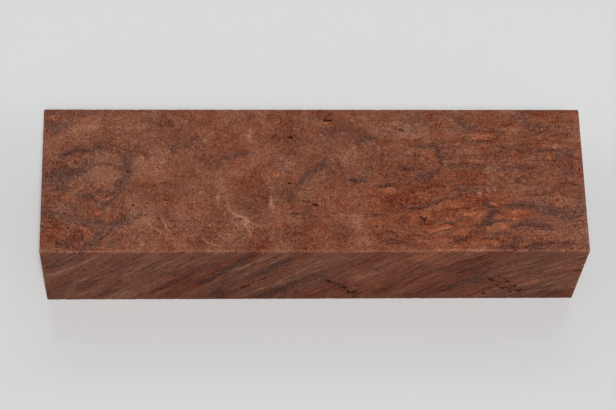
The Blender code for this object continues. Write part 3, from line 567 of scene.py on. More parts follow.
frontLines = [
    (0.7, 0.7, [(-67.5, 15.6), (-64.6, 17.1), (-61.2, 19.8), (-57.5, 22.9), (-54.2, 26.2), (-52, 29.6)]),
    (0.6, 0.8, [(-45.5, 18.4), (-42.8, 21), (-40.4, 23.7), (-37.5, 26.7)]),
    (0.5, -0.9, [(-43.4, 19.4), (-40.8, 22), (-38.3, 24.6), (-35.4, 27.9)]),
    (0.5, -0.8, [(-42, 15.4), (-40, 18), (-37.8, 21)]),
    (0.8, 0.6, [(-40, 19), (-36, 23.6), (-33.2, 26.6)]),
    (0.8, 0.5, [(-49, 12.4), (-45.6, 15.8), (-42, 18)]),
    (0.8, -0.5, [(-58, 8.6), (-55.4, 11.6), (-52, 14.6)]),
    (0.8, 0.6, [(-60, 3.3), (-56.7, 5), (-50.8, 7.5), (-48, 9.4)]),
    (0.5, -0.6, [(-66, 24), (-63, 27), (-61, 29.4)]),
    (0.5, 0.5, [(-50, 19), (-47, 23), (-43.4, 27.6)]),
    (0.5, -0.6, [(-51, 22.4), (-48.8, 25.6), (-46.6, 28.6)]),
    (0.6, -0.5, [(-36, 11), (-33, 14.6), (-30, 19)]),
    (0.6, 0.5, [(-34.6, 12.6), (-31, 17.6), (-27.6, 23), (-25, 28)]),
    (0.6, -0.6, [(-29, 20), (-26, 25), (-23.6, 29.4)]),
    (1.0, 0.8, [(-28.3, 7.5), (-26.2, 10), (-22, 16.7), (-16.6, 22.1), (-12.4, 27.5), (-11, 29.6)]),
    (0.7, 0.9, [(-19.5, 13.3), (-15.8, 17.5), (-12, 21.7), (-7.8, 26.7), (-5.6, 29)]),
    (0.5, -1.0, [(-17, 20.6), (-15.8, 21.9), (-12.4, 24.4), (-9.1, 27.5), (-7.6, 29.4)]),
    (0.5, -0.9, [(-20.8, 13.3), (-18.7, 16.3), (-14.9, 20)]),
    (0.5, -0.6, [(-24.4, 13), (-21, 17.9), (-17.2, 22.6), (-14.4, 26.4)]),
    (0.7, 0.8, [(-17.8, 3.3), (-13.7, 6.3), (-9.5, 9.6), (-5.3, 12.9), (-0.6, 16.2)]),
    (0.5, 0.5, [(-21, 6), (-18.6, 9.6), (-16.4, 12.6)]),
    (0.5, -0.6, [(-4, 20), (-1, 23.6), (1.6, 27.4)]),
    (0.5, 0.5, [(-3.2, 4), (0.6, 7.4), (4, 10)]),
    (0.5, -0.6, [(20.5, 22.3), (22, 24), (24, 26)]),
    (0.6, 0.6, [(14, 20.6), (18.4, 24.8), (21.6, 28.4)]),
    (0.5, -0.5, [(11, 18.6), (14, 21.8), (17, 25.4)]),
    (0.8, 0.6, [(27.6, 3.3), (30.5, 6.7), (34.5, 11.2), (36.6, 13)]),
    (0.5, -0.8, [(26.6, 10.6), (30.5, 13.7), (34.5, 17.3)]),
    (0.5, -0.6, [(31.4, 3), (33.6, 6), (36.6, 9.4)]),
    (0.5, 0.5, [(22.4, 13.6), (26.4, 17.2), (30.6, 20.4)]),
    (0.5, -0.6, [(16.4, 4), (20.4, 8), (24, 11)]),
    (0.6, -0.9, [(33.7, 14.6), (38.3, 18.3), (42.5, 22.1), (46.3, 25.4)]),
    (0.5, -0.7, [(34.6, 16.5), (40.4, 20), (43.3, 22.9)]),
    (0.7, 0.6, [(45, 18.3), (50.4, 22.1), (57.5, 25.8)]),
    (0.5, 0.6, [(36.6, 19.6), (40.8, 23.4), (45, 27.6)]),
    (0.5, -0.6, [(47.4, 17.4), (52, 21), (57, 24.2), (62, 26.6)]),
    (0.6, 0.5, [(54, 8.6), (59, 12.4), (64, 15.6)]),
    (0.5, -0.6, [(55, 12.4), (60, 15.8), (66, 19.8)]),
    (0.5, 0.5, [(57, 17), (62, 20.6), (66.4, 23.4)]),
    (0.6, -0.6, [(56.6, 2.6), (60.4, 5.4), (66, 9)]),
    (0.6, -0.5, [(36, 2.4), (39.6, 5.4), (43, 7.4)]),
]
frontWarmth = [
    (-56, 17, 26, 28, 0, -0.5), (36, 12, 44, 24, 0, 0.3), (0, 18, 22, 22, 0, -0.3),
]

# Which way the growth runs, mm and degrees
grain = {
    "riseLeft": 52,        # slope of the streaks on the front, left of the middle
    "riseRight": 38,       # and towards the right end
    "turnsAt": (8, 48),    # between these the slope changes
    "lean": 0.4,           # drift of the figure across the width for each mm of depth
    "pull": 0.16,          # how little the figure changes along the growth
    "grainPull": 0.45,     # and the fine grain, which is shorter
    "frontDepth": 4.0,     # how far in the marks of the front face reach at an end
    "fibrePull": 0.09,     # how little a single fibre changes along its length
    "sideContrast": 0.2,   # how much stronger the figure is where the fibres are cut lengthways
    "frontFootShade": 0.40,     # painted shade: how much darker the wood is painted towards the foot of the front
    "stray": ((6.0, 0.9), (1.9, 0.35)),    # unevenness that bends drawn marks: sizes in mm and shares
    "strayReach": 0.45,                    # how far it bends them, mm
    "drift": (14.0, 0.15),                 # size of its slow wander in mm, share of the depth
    "swirls": ((6.5, 1.0), (2.7, 0.5)),    # swirls of the grain, sizes in mm and shares
    "swirlReach": (2.2, 0.5, 0.35),        # how far they push figure, fine grain and side fibres, mm
    "ends": ((-30, -55), (8, 38)),         # x where the left and the right end begin and are whole, mm
    "stretch": (0.3, 0.6),                 # how much longer the figure is drawn out at these ends
    "calm": (0.35, 0.6),                   # how much less it swirls there
    "fineStretch": 0.25,                   # how much longer the fine grain is at the right end
    "fibrous": (0.4, 0.35, 0.6),           # how clearly fibres show in the middle, more to left and right
    "sideFibrous": (0.95, 0.45),           # on the sides, and more to the right
}


def soft(share):
    share = np.clip(share, 0, 1)
    return share * share * (3 - 2 * share)


def between(values, start, stop):
    # 0 at the start and 1 at the stop, eased
    return soft((values - start) / (stop - start))


def wander(points, size, offset):
    # smooth noise of that size in mm, three values round 0 for each point
    shift = Vector((offset, -offset, 2 * offset))
    return np.array([noise.noise_vector(Vector(p) / size + shift) for p in points.tolist()])


def smoothPath(path, steps=4):
    # a curve through the points of a drawn path
    knots = np.array([path[0], *path, path[-1]], float)
    t = np.linspace(0, 1, steps, endpoint=False)[:, None]
    pieces = []
    for a, b, c, d in zip(knots[:-3], knots[1:-2], knots[2:-1], knots[3:]):
        pieces.append(b + 0.5 * t * (c - a + t * (2 * a - 5 * b + 4 * c - d + t * (3 * b - a - 3 * c + d))))
    return np.concatenate([*pieces, knots[-1:]])


def beside(path, points):
    # distance to a path, signed by side, and the share of the path passed at the nearest place
    best, passed = np.full(len(points), np.inf), np.zeros(len(points))
    for index, (start, stop) in enumerate(zip(path[:-1], path[1:])):
        run, off = stop - start, points - start
        share = np.clip(off @ run / (run @ run), 0, 1)
        away = np.hypot(*(off - share[:, None] * run).T)
        away = np.where(run[0] * off[:, 1] < run[1] * off[:, 0], -away, away)
        nearer = np.abs(away) < np.abs(best)
        best[nearer], passed[nearer] = away[nearer], (index + share[nearer]) / (len(path) - 1)
    return best, passed


def layer(field, strength, away):
    # one more mark over a field: full at its middle, half at its edge, gone at twice that
    return 1 - (1 - field) * (1 - strength * soft(1 - away / 2))


def within(points, low, high):
    return np.flatnonzero(np.all((points > low) & (points < high), axis=1))


def strokes(points, marks):
    # soft strokes that thin out towards their ends
    field = np.zeros(len(points))
    for width, strength, path in marks:
        path = smoothPath(path)
        near = within(points, path.min(0) - width, path.max(0) + width)
        away, passed = beside(path, points[near])
        half = width / 2 * (1.1 - 0.5 * (2 * passed - 1) ** 2)
        field[near] = layer(field[near], strength, np.abs(away) / half)
    return field


def patches(points, marks):
    field = np.zeros(len(points))
    for x, y, length, width, turn, strength in marks:
        c, s = cos(radians(turn)), sin(radians(turn))
        off = points - (x, y)
        along, across = off @ (c, s) / (length / 2), off @ (-s, c) / (width / 2)
        field = layer(field, strength, np.hypot(along, across))
    return field


def crispLines(points, marks):
    # half widths to the nearest line, signed by side, and its strength, which fades at its ends
    best, strengths = np.full(len(points), 9.0), np.zeros(len(points))
    for width, strength, path in marks:
        path = smoothPath(path)
        near = within(points, path.min(0) - 4 * width, path.max(0) + 4 * width)
        away, passed = beside(path, points[near])
        away = away / (width / 2)
        nearer = np.abs(away) < np.abs(best[near])
        fading = strength * soft(4 * np.minimum(passed, 1 - passed))
        best[near[nearer]], strengths[near[nearer]] = away[nearer], fading[nearer]
    return np.stack([best, np.zeros(len(points)), strengths * soft(3 - np.abs(best) / 2)], axis=1)


def eyeFields(points, marks, margin=1.1):
    # place within the nearest eye, in radii, and its strength, which ends well before the next eye
    first, second = np.full(len(points), 99.0), np.full(len(points), 99.0)
    place = np.full((len(points), 3), 9.0)
    for x, y, radius, strength in marks:
        off = points - (x, y)
        beyond = np.hypot(*off.T) - 1.3 * radius
        nearer = beyond < first
        second = np.where(nearer, first, np.minimum(second, beyond))
        first = np.where(nearer, beyond, first)
        place[nearer] = np.column_stack([off[nearer] / radius, np.full(nearer.sum(), strength)])
    place[:, 2] *= soft(1 - first / margin) * soft((second - first - 0.45) / 0.5)
    return place


def alongGrowth(points, lines, reach=2.5, rest=0.004):
    # how far up each point is moved so that every drawn line lies level
    total, moved = np.full(len(points), rest), np.zeros(len(points))
    for level, line in lines:
        line = smoothPath(line, 3)
        for x, y in line:
            weight = 1 / ((points[:, 0] - x) ** 2 + (points[:, 1] - y) ** 2 + reach ** 2) ** 2
            total += weight
            moved += weight * (level - y)
    return moved / total


def mirrored(values, limit):
    # folds what lies past an end of the drawn figure back into it
    folded = np.mod(values + limit, 4 * limit)
    return np.where(folded > 2 * limit, 4 * limit - folded, folded) - limit


def squareBlock(settings):
    bm = bmesh.new()
    size, middle = blockHigh - blockLow, (blockHigh + blockLow) / 2
    bmesh.ops.create_cube(bm, size=1, matrix=Matrix.Translation(middle) @ Matrix.Diagonal((*size, 1)))
    bmesh.ops.bevel(bm, geom=bm.edges[:], offset=settings["edgeRound"] * mm, offset_type="OFFSET",
                    segments=settings["edgeSteps"], profile=0.5, affect="EDGES", material=-1)
    for axis in range(3):
        runs = [e for e in bm.edges if abs((e.verts[1].co - e.verts[0].co).normalized()[axis]) > 0.9999]
        cuts = round(size[axis] / (settings["cell"] * mm)) - 1
        bmesh.ops.subdivide_edges(bm, edges=runs, cuts=cuts, use_grid_fill=True)
    return bm


def pocketPlace(face, across, up):
    centre, right, rise = (np.array(v, float) for v in faces[face])
    return centre + right * across + rise * up, right, rise


def cutFaces(bm, chosen, cuts):
    edges = {e for face in chosen for e in face.edges}
    bmesh.ops.subdivide_edges(bm, edges=list(edges), cuts=cuts, use_grid_fill=True)


def facesNear(bm, sites):
    found = list(bm.faces)
    middles = np.array([f.calc_center_median() for f in found]) / mm
    chosen = set()
    for place, reach in sites:
        chosen.update(np.flatnonzero(np.linalg.norm(middles - place, axis=1) < reach).tolist())
    return [found[index] for index in chosen]


def hollows(points, marks):
    # depth below the sawn face, and how far into a pocket each point is, from 0 to 1
    depth, inside = np.zeros(len(points)), np.zeros(len(points))
    for index, (face, across, up, length, width, deep, turn) in enumerate(marks):
        place, right, rise = pocketPlace(face, across, up)
        near = np.flatnonzero(np.linalg.norm(points - place, axis=1) < length)
        off = points[near] - place
        c, s = cos(radians(turn)), sin(radians(turn))
        a, b = off @ right, off @ rise
        ragged = wander(off, 0.55, index * 1.7)[:, 0]
        bulge = np.clip(1.05 + 0.9 * ragged, 0.35, 1.5)
        share = np.hypot((c * a + s * b) / (length / 2), (c * b - s * a) / (width / 2)) / bulge
        onFace = np.abs(off @ np.cross(right, rise)) < 0.3
        sunk = np.where(onFace, between(share, 1.15, 0.4), 0)
        depth[near] = np.maximum(depth[near], deep * sunk)
        inside[near] = np.maximum(inside[near], np.where(onFace, between(share, 1.5, 0.5), 0))
    return depth, inside


def figure(points, outward):
    # the drawn figure and the run of the growth at every point of the surface
    x, y, z = points.T
    depth = tallMm - z
    turning = between(x, *grain["turnsAt"])
    rise = np.radians(grain["riseLeft"] + (grain["riseRight"] - grain["riseLeft"]) * turning)
    topX = x + depth / np.tan(rise)
    (broadSize, broadShare), (smallSize, smallShare) = grain["stray"]
    loose = broadShare * wander(points, broadSize, 3.3) + smallShare * wander(points, smallSize, 7.1)
    loose = loose * grain["strayReach"]
    driftSize, driftShare = grain["drift"]
    slow = wander(points, driftSize, 11.9) * driftShare * depth[:, None]
    drawn = np.stack([mirrored(topX + slow[:, 0], longMm / 2),
                      mirrored(y - grain["lean"] * depth + slow[:, 1], wideMm / 2)], axis=1)
    upper = drawn + loose[:, :2]
    front = np.stack([x, z], axis=1) + loose[:, [0, 2]]
    faceUp, faceFront = between(outward[:, 2], 0.5, 0.8), between(-outward[:, 1], 0.5, 0.8)
    onFront = soft(1 - (y + wideMm / 2) / grain["frontDepth"]) * (1 - soft(outward[:, 2] * 1.6))
    mixed = {
        "smoke": (strokes(upper, upperSmoke), strokes(front, frontSmoke)),
        "umberAndShade": (patches(upper, upperUmber), patches(front, frontUmberAndPocketShade)),
        "ember": (patches(upper, upperEmber), patches(front, frontEmber)),
        "straw": (patches(upper, upperStraw),
                  np.maximum(patches(front, frontStraw), strokes(front, frontStrawLines))),
        "warmth": (patches(upper, upperWarmth), patches(front, frontWarmth)),
    }
    fields = {name: a + (b - a) * onFront for name, (a, b) in mixed.items()}
    # painted shade: the sides are made darker towards their foot, laid in with the darker patches
    paintedFootShade = grain["frontFootShade"] * (1 - z / tallMm) ** 1.5 * (1 - faceUp)
    fields["umberAndShade"] = 1 - (1 - fields["umberAndShade"]) * (1 - paintedFootShade)

    # across the growth the figure keeps its size, along it it is drawn out
    left, right = (between(topX, *places) for places in grain["ends"])
    level = y + alongGrowth(drawn, growth)
    stretchLeft, stretchRight = grain["stretch"]
    squeeze = 1 - stretchLeft * left - stretchRight * right
    (broadSize, broadShare), (smallSize, smallShare) = grain["swirls"]
    along = np.stack([topX, y, depth * grain["pull"]], axis=1)
    swirl = broadShare * wander(along, broadSize, 5.1) + smallShare * wander(along, smallSize, 8.4)
    flowSwirl, sectionSwirl, fibreSwirl = grain["swirlReach"]
    calmLeft, calmRight = grain["calm"]
    calm = (1 - calmLeft * left - calmRight * right)[:, None]
    flow = np.stack([topX * squeeze, level, depth * grain["pull"]], axis=1) + flowSwirl * swirl * calm
    fineX = topX * (1 - grain["fineStretch"] * right)
    section = np.stack([fineX, level, depth * grain["grainPull"]], axis=1) + sectionSwirl * swirl
    onSide = 1 - between(np.abs(outward[:, 2]), 0.5, 0.8)
    lengthways = flow * (0.2, 1, 1)
    upwards = np.stack([topX, 0.5 * y, depth * grain["fibrePull"]], axis=1)
    upwards += fibreSwirl * swirl * (1, 1, 0)
    fibres = lengthways + (upwards - lengthways) * onSide[:, None]
    fields["contrast"] = 1 + grain["sideContrast"] * onSide
    plain, moreLeft, moreRight = grain["fibrous"]
    sidePlain, sideRight = grain["sideFibrous"]
    fields["fibrous"] = np.maximum(plain + moreLeft * left + moreRight * right,
                                   (sidePlain + sideRight * right) * onSide)
    lines = crispLines(upper, upperLinesAndGlints) * faceUp[:, None]
    lines += crispLines(front, frontLines) * faceFront[:, None]
    places = {"flow": flow, "section": section, "fibres": fibres, "lines": lines,
              "eyes": eyeFields(upper, upperEyes) * faceUp[:, None]}
    return fields, places


def addField(mesh, name, kind, values):
    attribute = mesh.attributes.new(name, kind, "POINT")
    member = "vector" if kind == "FLOAT_VECTOR" else "value"
    attribute.data.foreach_set(member, values.astype(np.float32).ravel())


def burlBlock(settings):
    noise.seed_set(settings["seed"])
    bm = squareBlock(settings)
    rim = 1.05 * settings["edgeRound"] * mm
    facing = [f for f in bm.faces if f.calc_center_median().z > blockHigh.z - rim
              or f.calc_center_median().y < blockLow.y + rim]
    cutFaces(bm, facing, settings["facingCuts"])
    for reach in settings["pocketReach"]:
        sites = [(pocketPlace(face, across, up)[0], length / 2 + reach)
                 for face, across, up, length, *_ in pockets]
        cutFaces(bm, facesNear(bm, sites), 1)
    bmesh.ops.recalc_face_normals(bm, faces=bm.faces[:])
    mesh = bpy.data.meshes.new("burlBlock")
    bm.to_mesh(mesh)
    bm.free()
    count = len(mesh.vertices)
    flat, outward = np.zeros(count * 3, np.float32), np.zeros(count * 3, np.float32)
    mesh.vertices.foreach_get("co", flat)
    mesh.vertex_normals.foreach_get("vector", outward)
    points, outward = flat.reshape(-1, 3) / mm, outward.reshape(-1, 3)

    fields, places = figure(points, outward)
    depth, inside = hollows(points, pockets)
    low, high = np.array(blockLow) / mm, np.array(blockHigh) / mm
    toEdge = np.sort(np.minimum(points - low, high - points), axis=1)[:, 1]
    wearReach, wearSize = settings["wear"]
    wornAndHighlit = soft(1 - toEdge / wearReach)
    dipSize, dipDepth = settings["waviness"]
    dips = wander(points, dipSize, 2.2)[:, 0] * 0.5 + 0.5
    dentSize, dentDepth = settings["dents"]
    dents = np.clip(wander(points, dentSize, 9.3)[:, 1] * 2 - 0.2, 0, 1)
    sunk = depth + dipDepth * dips * (1 - wornAndHighlit) + dentDepth * dents * wornAndHighlit
    placed = np.clip(points - outward * sunk[:, None], low, high)
    mesh.vertices.foreach_set("co", (placed * mm).astype(np.float32).ravel())

    for name, values in fields.items():
        addField(mesh, name, "FLOAT", values)
    addField(mesh, "hollow", "FLOAT", inside)
    # rubbed edges, paler from wear and from a painted highlight where they catch the light
    patchy = wander(points, wearSize, 4.4)[:, 2] + 0.5
    addField(mesh, "wornAndHighlit", "FLOAT", wornAndHighlit * (0.4 + 0.6 * patchy))
    for name, values in places.items():
        addField(mesh, name, "FLOAT_VECTOR", values)
    mesh.shade_smooth()
    mesh.update()
    solid = bpy.data.objects.new("burlBlock", mesh)
    bpy.context.scene.collection.objects.link(solid)
    return solid


def fromHex(code):
    parts = [int(code[i:i + 2], 16) / 255 for i in (1, 3, 5)]
    return [c / 12.92 if c <= 0.04045 else ((c + 0.055) / 1.055) ** 2.4 for c in parts] + [1]


def addNode(tree, kind, settings={}, inputs={}):
    # Inputs go by name or number. A MapRange takes the value, the two limits it moves between and
    # what they become; a Mix of colours takes the share of the second at 0 and the colours at 6 and 7.
    node = tree.nodes.new("ShaderNode" + kind)
    for name, value in settings.items():
        setattr(node, name, value)
    for name, value in inputs.items():
        if isinstance(value, bpy.types.NodeSocket):
            tree.links.new(value, node.inputs[name])
        else:
            node.inputs[name].default_value = value
    return node


burl = {
    # sRGB of the wood from its darkest grain to its palest, at these tones
    "tones": (0.0, 0.25, 0.5, 0.75, 1.0),
    "heart": ("#421b0e", "#5d2f21", "#774634", "#905d48", "#aa745e"),   # plain heartwood
    "ember": ("#4c1d0d", "#6a2f1c", "#874930", "#a25d40", "#bc7557"),   # orange round old buds
    "ash": ("#432214", "#5f3627", "#7a4d3a", "#93654e", "#ac7c65"),     # wood that weathered greyer
    "smoke": ("#382118", "#4f3128", "#674438", "#7e594c", "#966d5f"),   # grey of sunken bark
    "bark": "#371a0e",
    # how far each drawn mark shifts the tone, and how ragged the grain makes its edge
    "marks": {
        "straw": (0.15, 0.4), "umberAndShade": (-0.16, -0.5), "smoke": (-0.10, -0.22), "ember": (0.06, 0.5),
    },
    # layers of the grain: what they follow, size in mm, octaves, their strength, twist and weight
    "grain": {
        "cloud": ("section", 9.0, 1, 0.6, 0.0, 0.35),
        "swirl": ("flow", 3.4, 2, 0.7, 1.4, 0.40),
        "mottle": ("section", 1.3, 2, 0.9, 0.5, 0.41),
    },
    "turning": (2.6, 3.2),        # size of a turn of the grain in mm, how far it pushes the figure, mm
    "fibre": (0.8, 0.50),         # spacing of the growth lines in mm, weight where they show
    "sanding": (0.22, 0.10),      # spacing of the last sanding marks in mm, weight
    "scratch": 0.02,              # how little a sanding mark changes along its length
    "bundles": (3.8, 0.15, 0.6),  # size of a patch of twisted fibre in mm, spread of its tone and warmth
    "hues": ((1.1, 1.2), (5.5, 1.4), (15.0, 0.9)),   # sizes in mm and spreads of warm and grey wood
    "warmth": 0.60,               # how far the broad drawn warmth shifts it
    "seams": (0.10, 0.40),        # the line round such a patch: half width as a share of it, smokiness
    "pallor": 1.2,                # how strongly greyer wood turns to ash
    "rims": 0.10,                 # how much darker the rim of an old bud is
    "lines": 0.22,                # how far a crisp drawn line shifts the tone
    "lineEdge": (2.5, 0.2, 1.3),  # how ragged its edge is, the half widths between which it fades
    "dust": (0.42, 1.5, 0.95),    # size of the finest grain in mm, octaves, weight
    "stipple": (0.55, 0.24),      # spacing of the cut fibre ends in mm, how much darker they are
    "dots": (0.08, 0.5, 0.4),     # where one fades as a share of the spacing, how pale it is between them
    "density": (0.25, 1.2),       # their strength where they are faint and where they are dense
    "pips": (2.1, 0.50, 0.16),    # spacing of the pin knots in mm, their darkness, pale ring round them
    "pipRings": (0.05, 0.14, 0.36),   # where their middle, their edge and the ring end, as shares of it
    "pipChance": (0.35, 0.75),    # of a draw from 0 to 1: below it no knot, above it a whole one
    # an eye from its middle outwards, in radii: its tone, where 0.5 is the wood round it
    "eye": ((0.0, 0.08), (0.13, 0.22), (0.26, 0.58), (0.46, 0.64), (0.64, 0.42), (0.80, 0.60),
            (0.98, 0.40), (1.25, 0.5)),
    "eyeTone": 1.2,               # how strongly that shows
    "eyeWobble": 0.7,             # how far its rings stray from round, in radii
    "eyeWarmth": (0.2, 0.9, 0.5),     # the radii between which its warm middle fades, how warm it is
    # where a pocket's orange lip and its dark inside begin and are whole, from 0 outside to 1
    "lip": (0.05, 0.45),
    "inside": (0.25, 0.8),
    "wornAndHighlit": 0.12,                 # how much paler the rubbed edges are, partly wear and partly a painted highlight
    "bump": (0.4, 0.00006),       # strength of the finest relief, its depth in m
    "relief": (-0.5, 0.6),        # height of the pin knots and of the sanding marks, the dots being 1
    "roughness": 0.58,            # sanded to about 400 grit, resin in the pores
    "uneven": (-0.06, 0.08),      # how much glossier and duller it is in places
    "ior": 1.45,
    "specular": 0.03,             # the open grain hides most of the resin's gloss
}


def burlWood(finish):
    # Stabilised redwood burl: twisted heartwood full of pin knots, its pores filled with clear
    # resin, then sanded. The eye sees matte red-brown wood, stippled, with dark smoky flames.
    material = bpy.data.materials.new("stabilisedRedwoodBurl")
    material.use_nodes = True
    tree = material.node_tree
    shader = tree.nodes["Principled BSDF"]
    eased = {"interpolation_type": "SMOOTHSTEP"}
    marks = {}
    for name in ("smoke", "umberAndShade", "ember", "straw", "warmth", "hollow", "wornAndHighlit", "fibrous", "contrast"):
        marks[name] = addNode(tree, "Attribute", {"attribute_name": name}).outputs["Fac"]
    places = {}
    for name in ("flow", "section", "fibres", "lines", "eyes"):
        places[name] = addNode(tree, "Attribute", {"attribute_name": name}).outputs["Vector"]
    metres = addNode(tree, "TexCoord").outputs["Object"]
    places["own"] = addNode(tree, "VectorMath", {"operation": "SCALE"}, {
        0: metres, "Scale": 1 / mm}).outputs[0]
    size, reach = finish["turning"]
    turning = addNode(tree, "TexNoise", {}, {
        "Vector": places["section"], "Scale": 1 / size, "Detail": 1}).outputs["Color"]
    for name in ("flow", "section"):
        places[name + "Turned"] = addNode(tree, "VectorMath", {"operation": "MULTIPLY_ADD"}, {
            0: turning, 1: (reach, reach, reach), 2: places[name]}).outputs[0]

    # grain, as one tone from 0 to 1 whose middle is 0.5
    grains, tone = {}, 0.5 - sum(grainLayer[5] for grainLayer in finish["grain"].values()) / 2
    for name, (follows, size, octaves, strength, twist, weight) in finish["grain"].items():
        grains[name] = addNode(tree, "TexNoise", {}, {
            "Vector": places[follows], "Scale": 1 / size, "Detail": octaves, "Roughness": strength,
            "Distortion": twist}).outputs[0]
        tone = addNode(tree, "Math", {"operation": "MULTIPLY_ADD"}, {
            0: grains[name], 1: weight, 2: tone}).outputs[0]

    spacing, weight = finish["fibre"]
    fibre = addNode(tree, "TexNoise", {}, {
        "Vector": places["fibres"], "Scale": 1 / spacing, "Detail": 2, "Roughness": 0.8,
        "Distortion": 0.2}).outputs[0]
    fibre = addNode(tree, "Math", {"operation": "SUBTRACT"}, {0: fibre, 1: 0.5}).outputs[0]
    fibre = addNode(tree, "Math", {"operation": "MULTIPLY"}, {0: fibre, 1: marks["fibrous"]}).outputs[0]
    tone = addNode(tree, "Math", {"operation": "MULTIPLY_ADD"}, {0: fibre, 1: weight, 2: tone}).outputs[0]

    spacing, weight = finish["sanding"]
    scratched = addNode(tree, "Mapping", {}, {
        "Vector": places["own"],
        "Scale": (finish["scratch"] / spacing, 1 / spacing, 1 / spacing)}).outputs[0]
    sanding = addNode(tree, "TexNoise", {}, {"Vector": scratched, "Scale": 1.0, "Detail": 1}).outputs[0]
    sanding = addNode(tree, "Math", {"operation": "SUBTRACT"}, {0: sanding, 1: 0.5}).outputs[0]
    tone = addNode(tree, "Math", {"operation": "MULTIPLY_ADD"}, {0: sanding, 1: weight, 2: tone}).outputs[0]

    # eyes: rings round a dark middle, and the crisp drawn lines
    reach = finish["eyeWobble"]
    wobble = addNode(tree, "VectorMath", {"operation": "MULTIPLY_ADD"}, {
        0: turning, 1: (reach, reach, 0.0), 2: places["eyes"]}).outputs[0]
    wobble = addNode(tree, "VectorMath", {"operation": "SUBTRACT"}, {
        0: wobble, 1: (reach / 2, reach / 2, 0.0)}).outputs[0]
    wobble = addNode(tree, "SeparateXYZ", {}, {0: wobble})
    flat = addNode(tree, "CombineXYZ", {}, {0: wobble.outputs[0], 1: wobble.outputs[1]}).outputs[0]
    radius = addNode(tree, "VectorMath", {"operation": "LENGTH"}, {0: flat}).outputs["Value"]
    share = addNode(tree, "Math", {"operation": "DIVIDE"}, {0: radius, 1: 2.0}).outputs[0]
    profile = addNode(tree, "ValToRGB", {}, {"Fac": share})
    elements = profile.color_ramp.elements
    while len(elements) < len(finish["eye"]):
        elements.new(0.5)
    for element, (away, pale) in zip(elements, finish["eye"]):
        element.position = away / 2
        element.color = (pale, pale, pale, 1)
    rings = addNode(tree, "Math", {"operation": "SUBTRACT"}, {0: profile.outputs[0], 1: 0.5}).outputs[0]
    rings = addNode(tree, "Math", {"operation": "MULTIPLY"}, {0: rings, 1: wobble.outputs[2]}).outputs[0]
    tone = addNode(tree, "Math", {"operation": "MULTIPLY_ADD"}, {
        0: rings, 1: finish["eyeTone"], 2: tone}).outputs[0]
    start, stop, warmest = finish["eyeWarmth"]
    core = addNode(tree, "MapRange", eased, {
        0: radius, 1: start, 2: stop, 3: warmest, 4: 0.0}).outputs[0]
    core = addNode(tree, "Math", {"operation": "MULTIPLY"}, {0: core, 1: wobble.outputs[2]}).outputs[0]

    drawn = addNode(tree, "SeparateXYZ", {}, {0: places["lines"]})
    ragged = addNode(tree, "Math", {"operation": "SUBTRACT"}, {0: grains["mottle"], 1: 0.5}).outputs[0]
    unevenness, start, stop = finish["lineEdge"]
    ragged = addNode(tree, "Math", {"operation": "MULTIPLY_ADD"}, {
        0: ragged, 1: unevenness, 2: drawn.outputs[0]}).outputs[0]
    ragged = addNode(tree, "Math", {"operation": "ABSOLUTE"}, {0: ragged}).outputs[0]
    line = addNode(tree, "MapRange", eased, {
        0: ragged, 1: start, 2: stop, 3: finish["lines"], 4: 0.0}).outputs[0]
    tone = addNode(tree, "Math", {"operation": "MULTIPLY_ADD"}, {
        0: line, 1: drawn.outputs[2], 2: tone}).outputs[0]

    # patches of twisted fibre, each with its own tone and warmth, and a smoky seam between them
    size, toneSpread, warmSpread = finish["bundles"]
    bundle = addNode(tree, "TexVoronoi", {"feature": "SMOOTH_F1"}, {
        "Vector": places["flowTurned"], "Scale": 1 / size, "Smoothness": 0.35}).outputs["Color"]
    bundle = addNode(tree, "SeparateColor", {}, {0: bundle})
    own = addNode(tree, "Math", {"operation": "SUBTRACT"}, {0: bundle.outputs[0], 1: 0.5}).outputs[0]
    tone = addNode(tree, "Math", {"operation": "MULTIPLY_ADD"}, {0: own, 1: toneSpread, 2: tone}).outputs[0]
    warmth = addNode(tree, "Math", {"operation": "SUBTRACT"}, {0: bundle.outputs[1], 1: 0.5}).outputs[0]
    seam = addNode(tree, "TexVoronoi", {"feature": "DISTANCE_TO_EDGE"}, {
        "Vector": places["flowTurned"], "Scale": 1 / size}).outputs["Distance"]
    halfWidth, smokiness = finish["seams"]
    seam = addNode(tree, "MapRange", eased, {
        0: seam, 1: 0.0, 2: halfWidth, 3: smokiness, 4: 0.0}).outputs[0]
    seam = addNode(tree, "Math", {"operation": "MULTIPLY"}, {0: seam, 1: bundle.outputs[2]}).outputs[0]

    # wood that is warmer or greyer than the rest, whatever its tone
    hue = addNode(tree, "Math", {"operation": "MULTIPLY"}, {0: warmth, 1: warmSpread}).outputs[0]
    for size, spread in finish["hues"]:
        shade = addNode(tree, "TexNoise", {}, {
            "Vector": places["sectionTurned"], "Scale": 1 / size, "Detail": 1}).outputs[0]
        shade = addNode(tree, "Math", {"operation": "SUBTRACT"}, {0: shade, 1: 0.5}).outputs[0]
        hue = addNode(tree, "Math", {"operation": "MULTIPLY_ADD"}, {0: shade, 1: spread, 2: hue}).outputs[0]
    hue = addNode(tree, "Math", {"operation": "MULTIPLY_ADD"}, {
        0: marks["warmth"], 1: finish["warmth"], 2: hue}).outputs[0]
    pallor = addNode(tree, "Math", {"operation": "MULTIPLY", "use_clamp": True}, {
        0: hue, 1: -finish["pallor"]}).outputs[0]

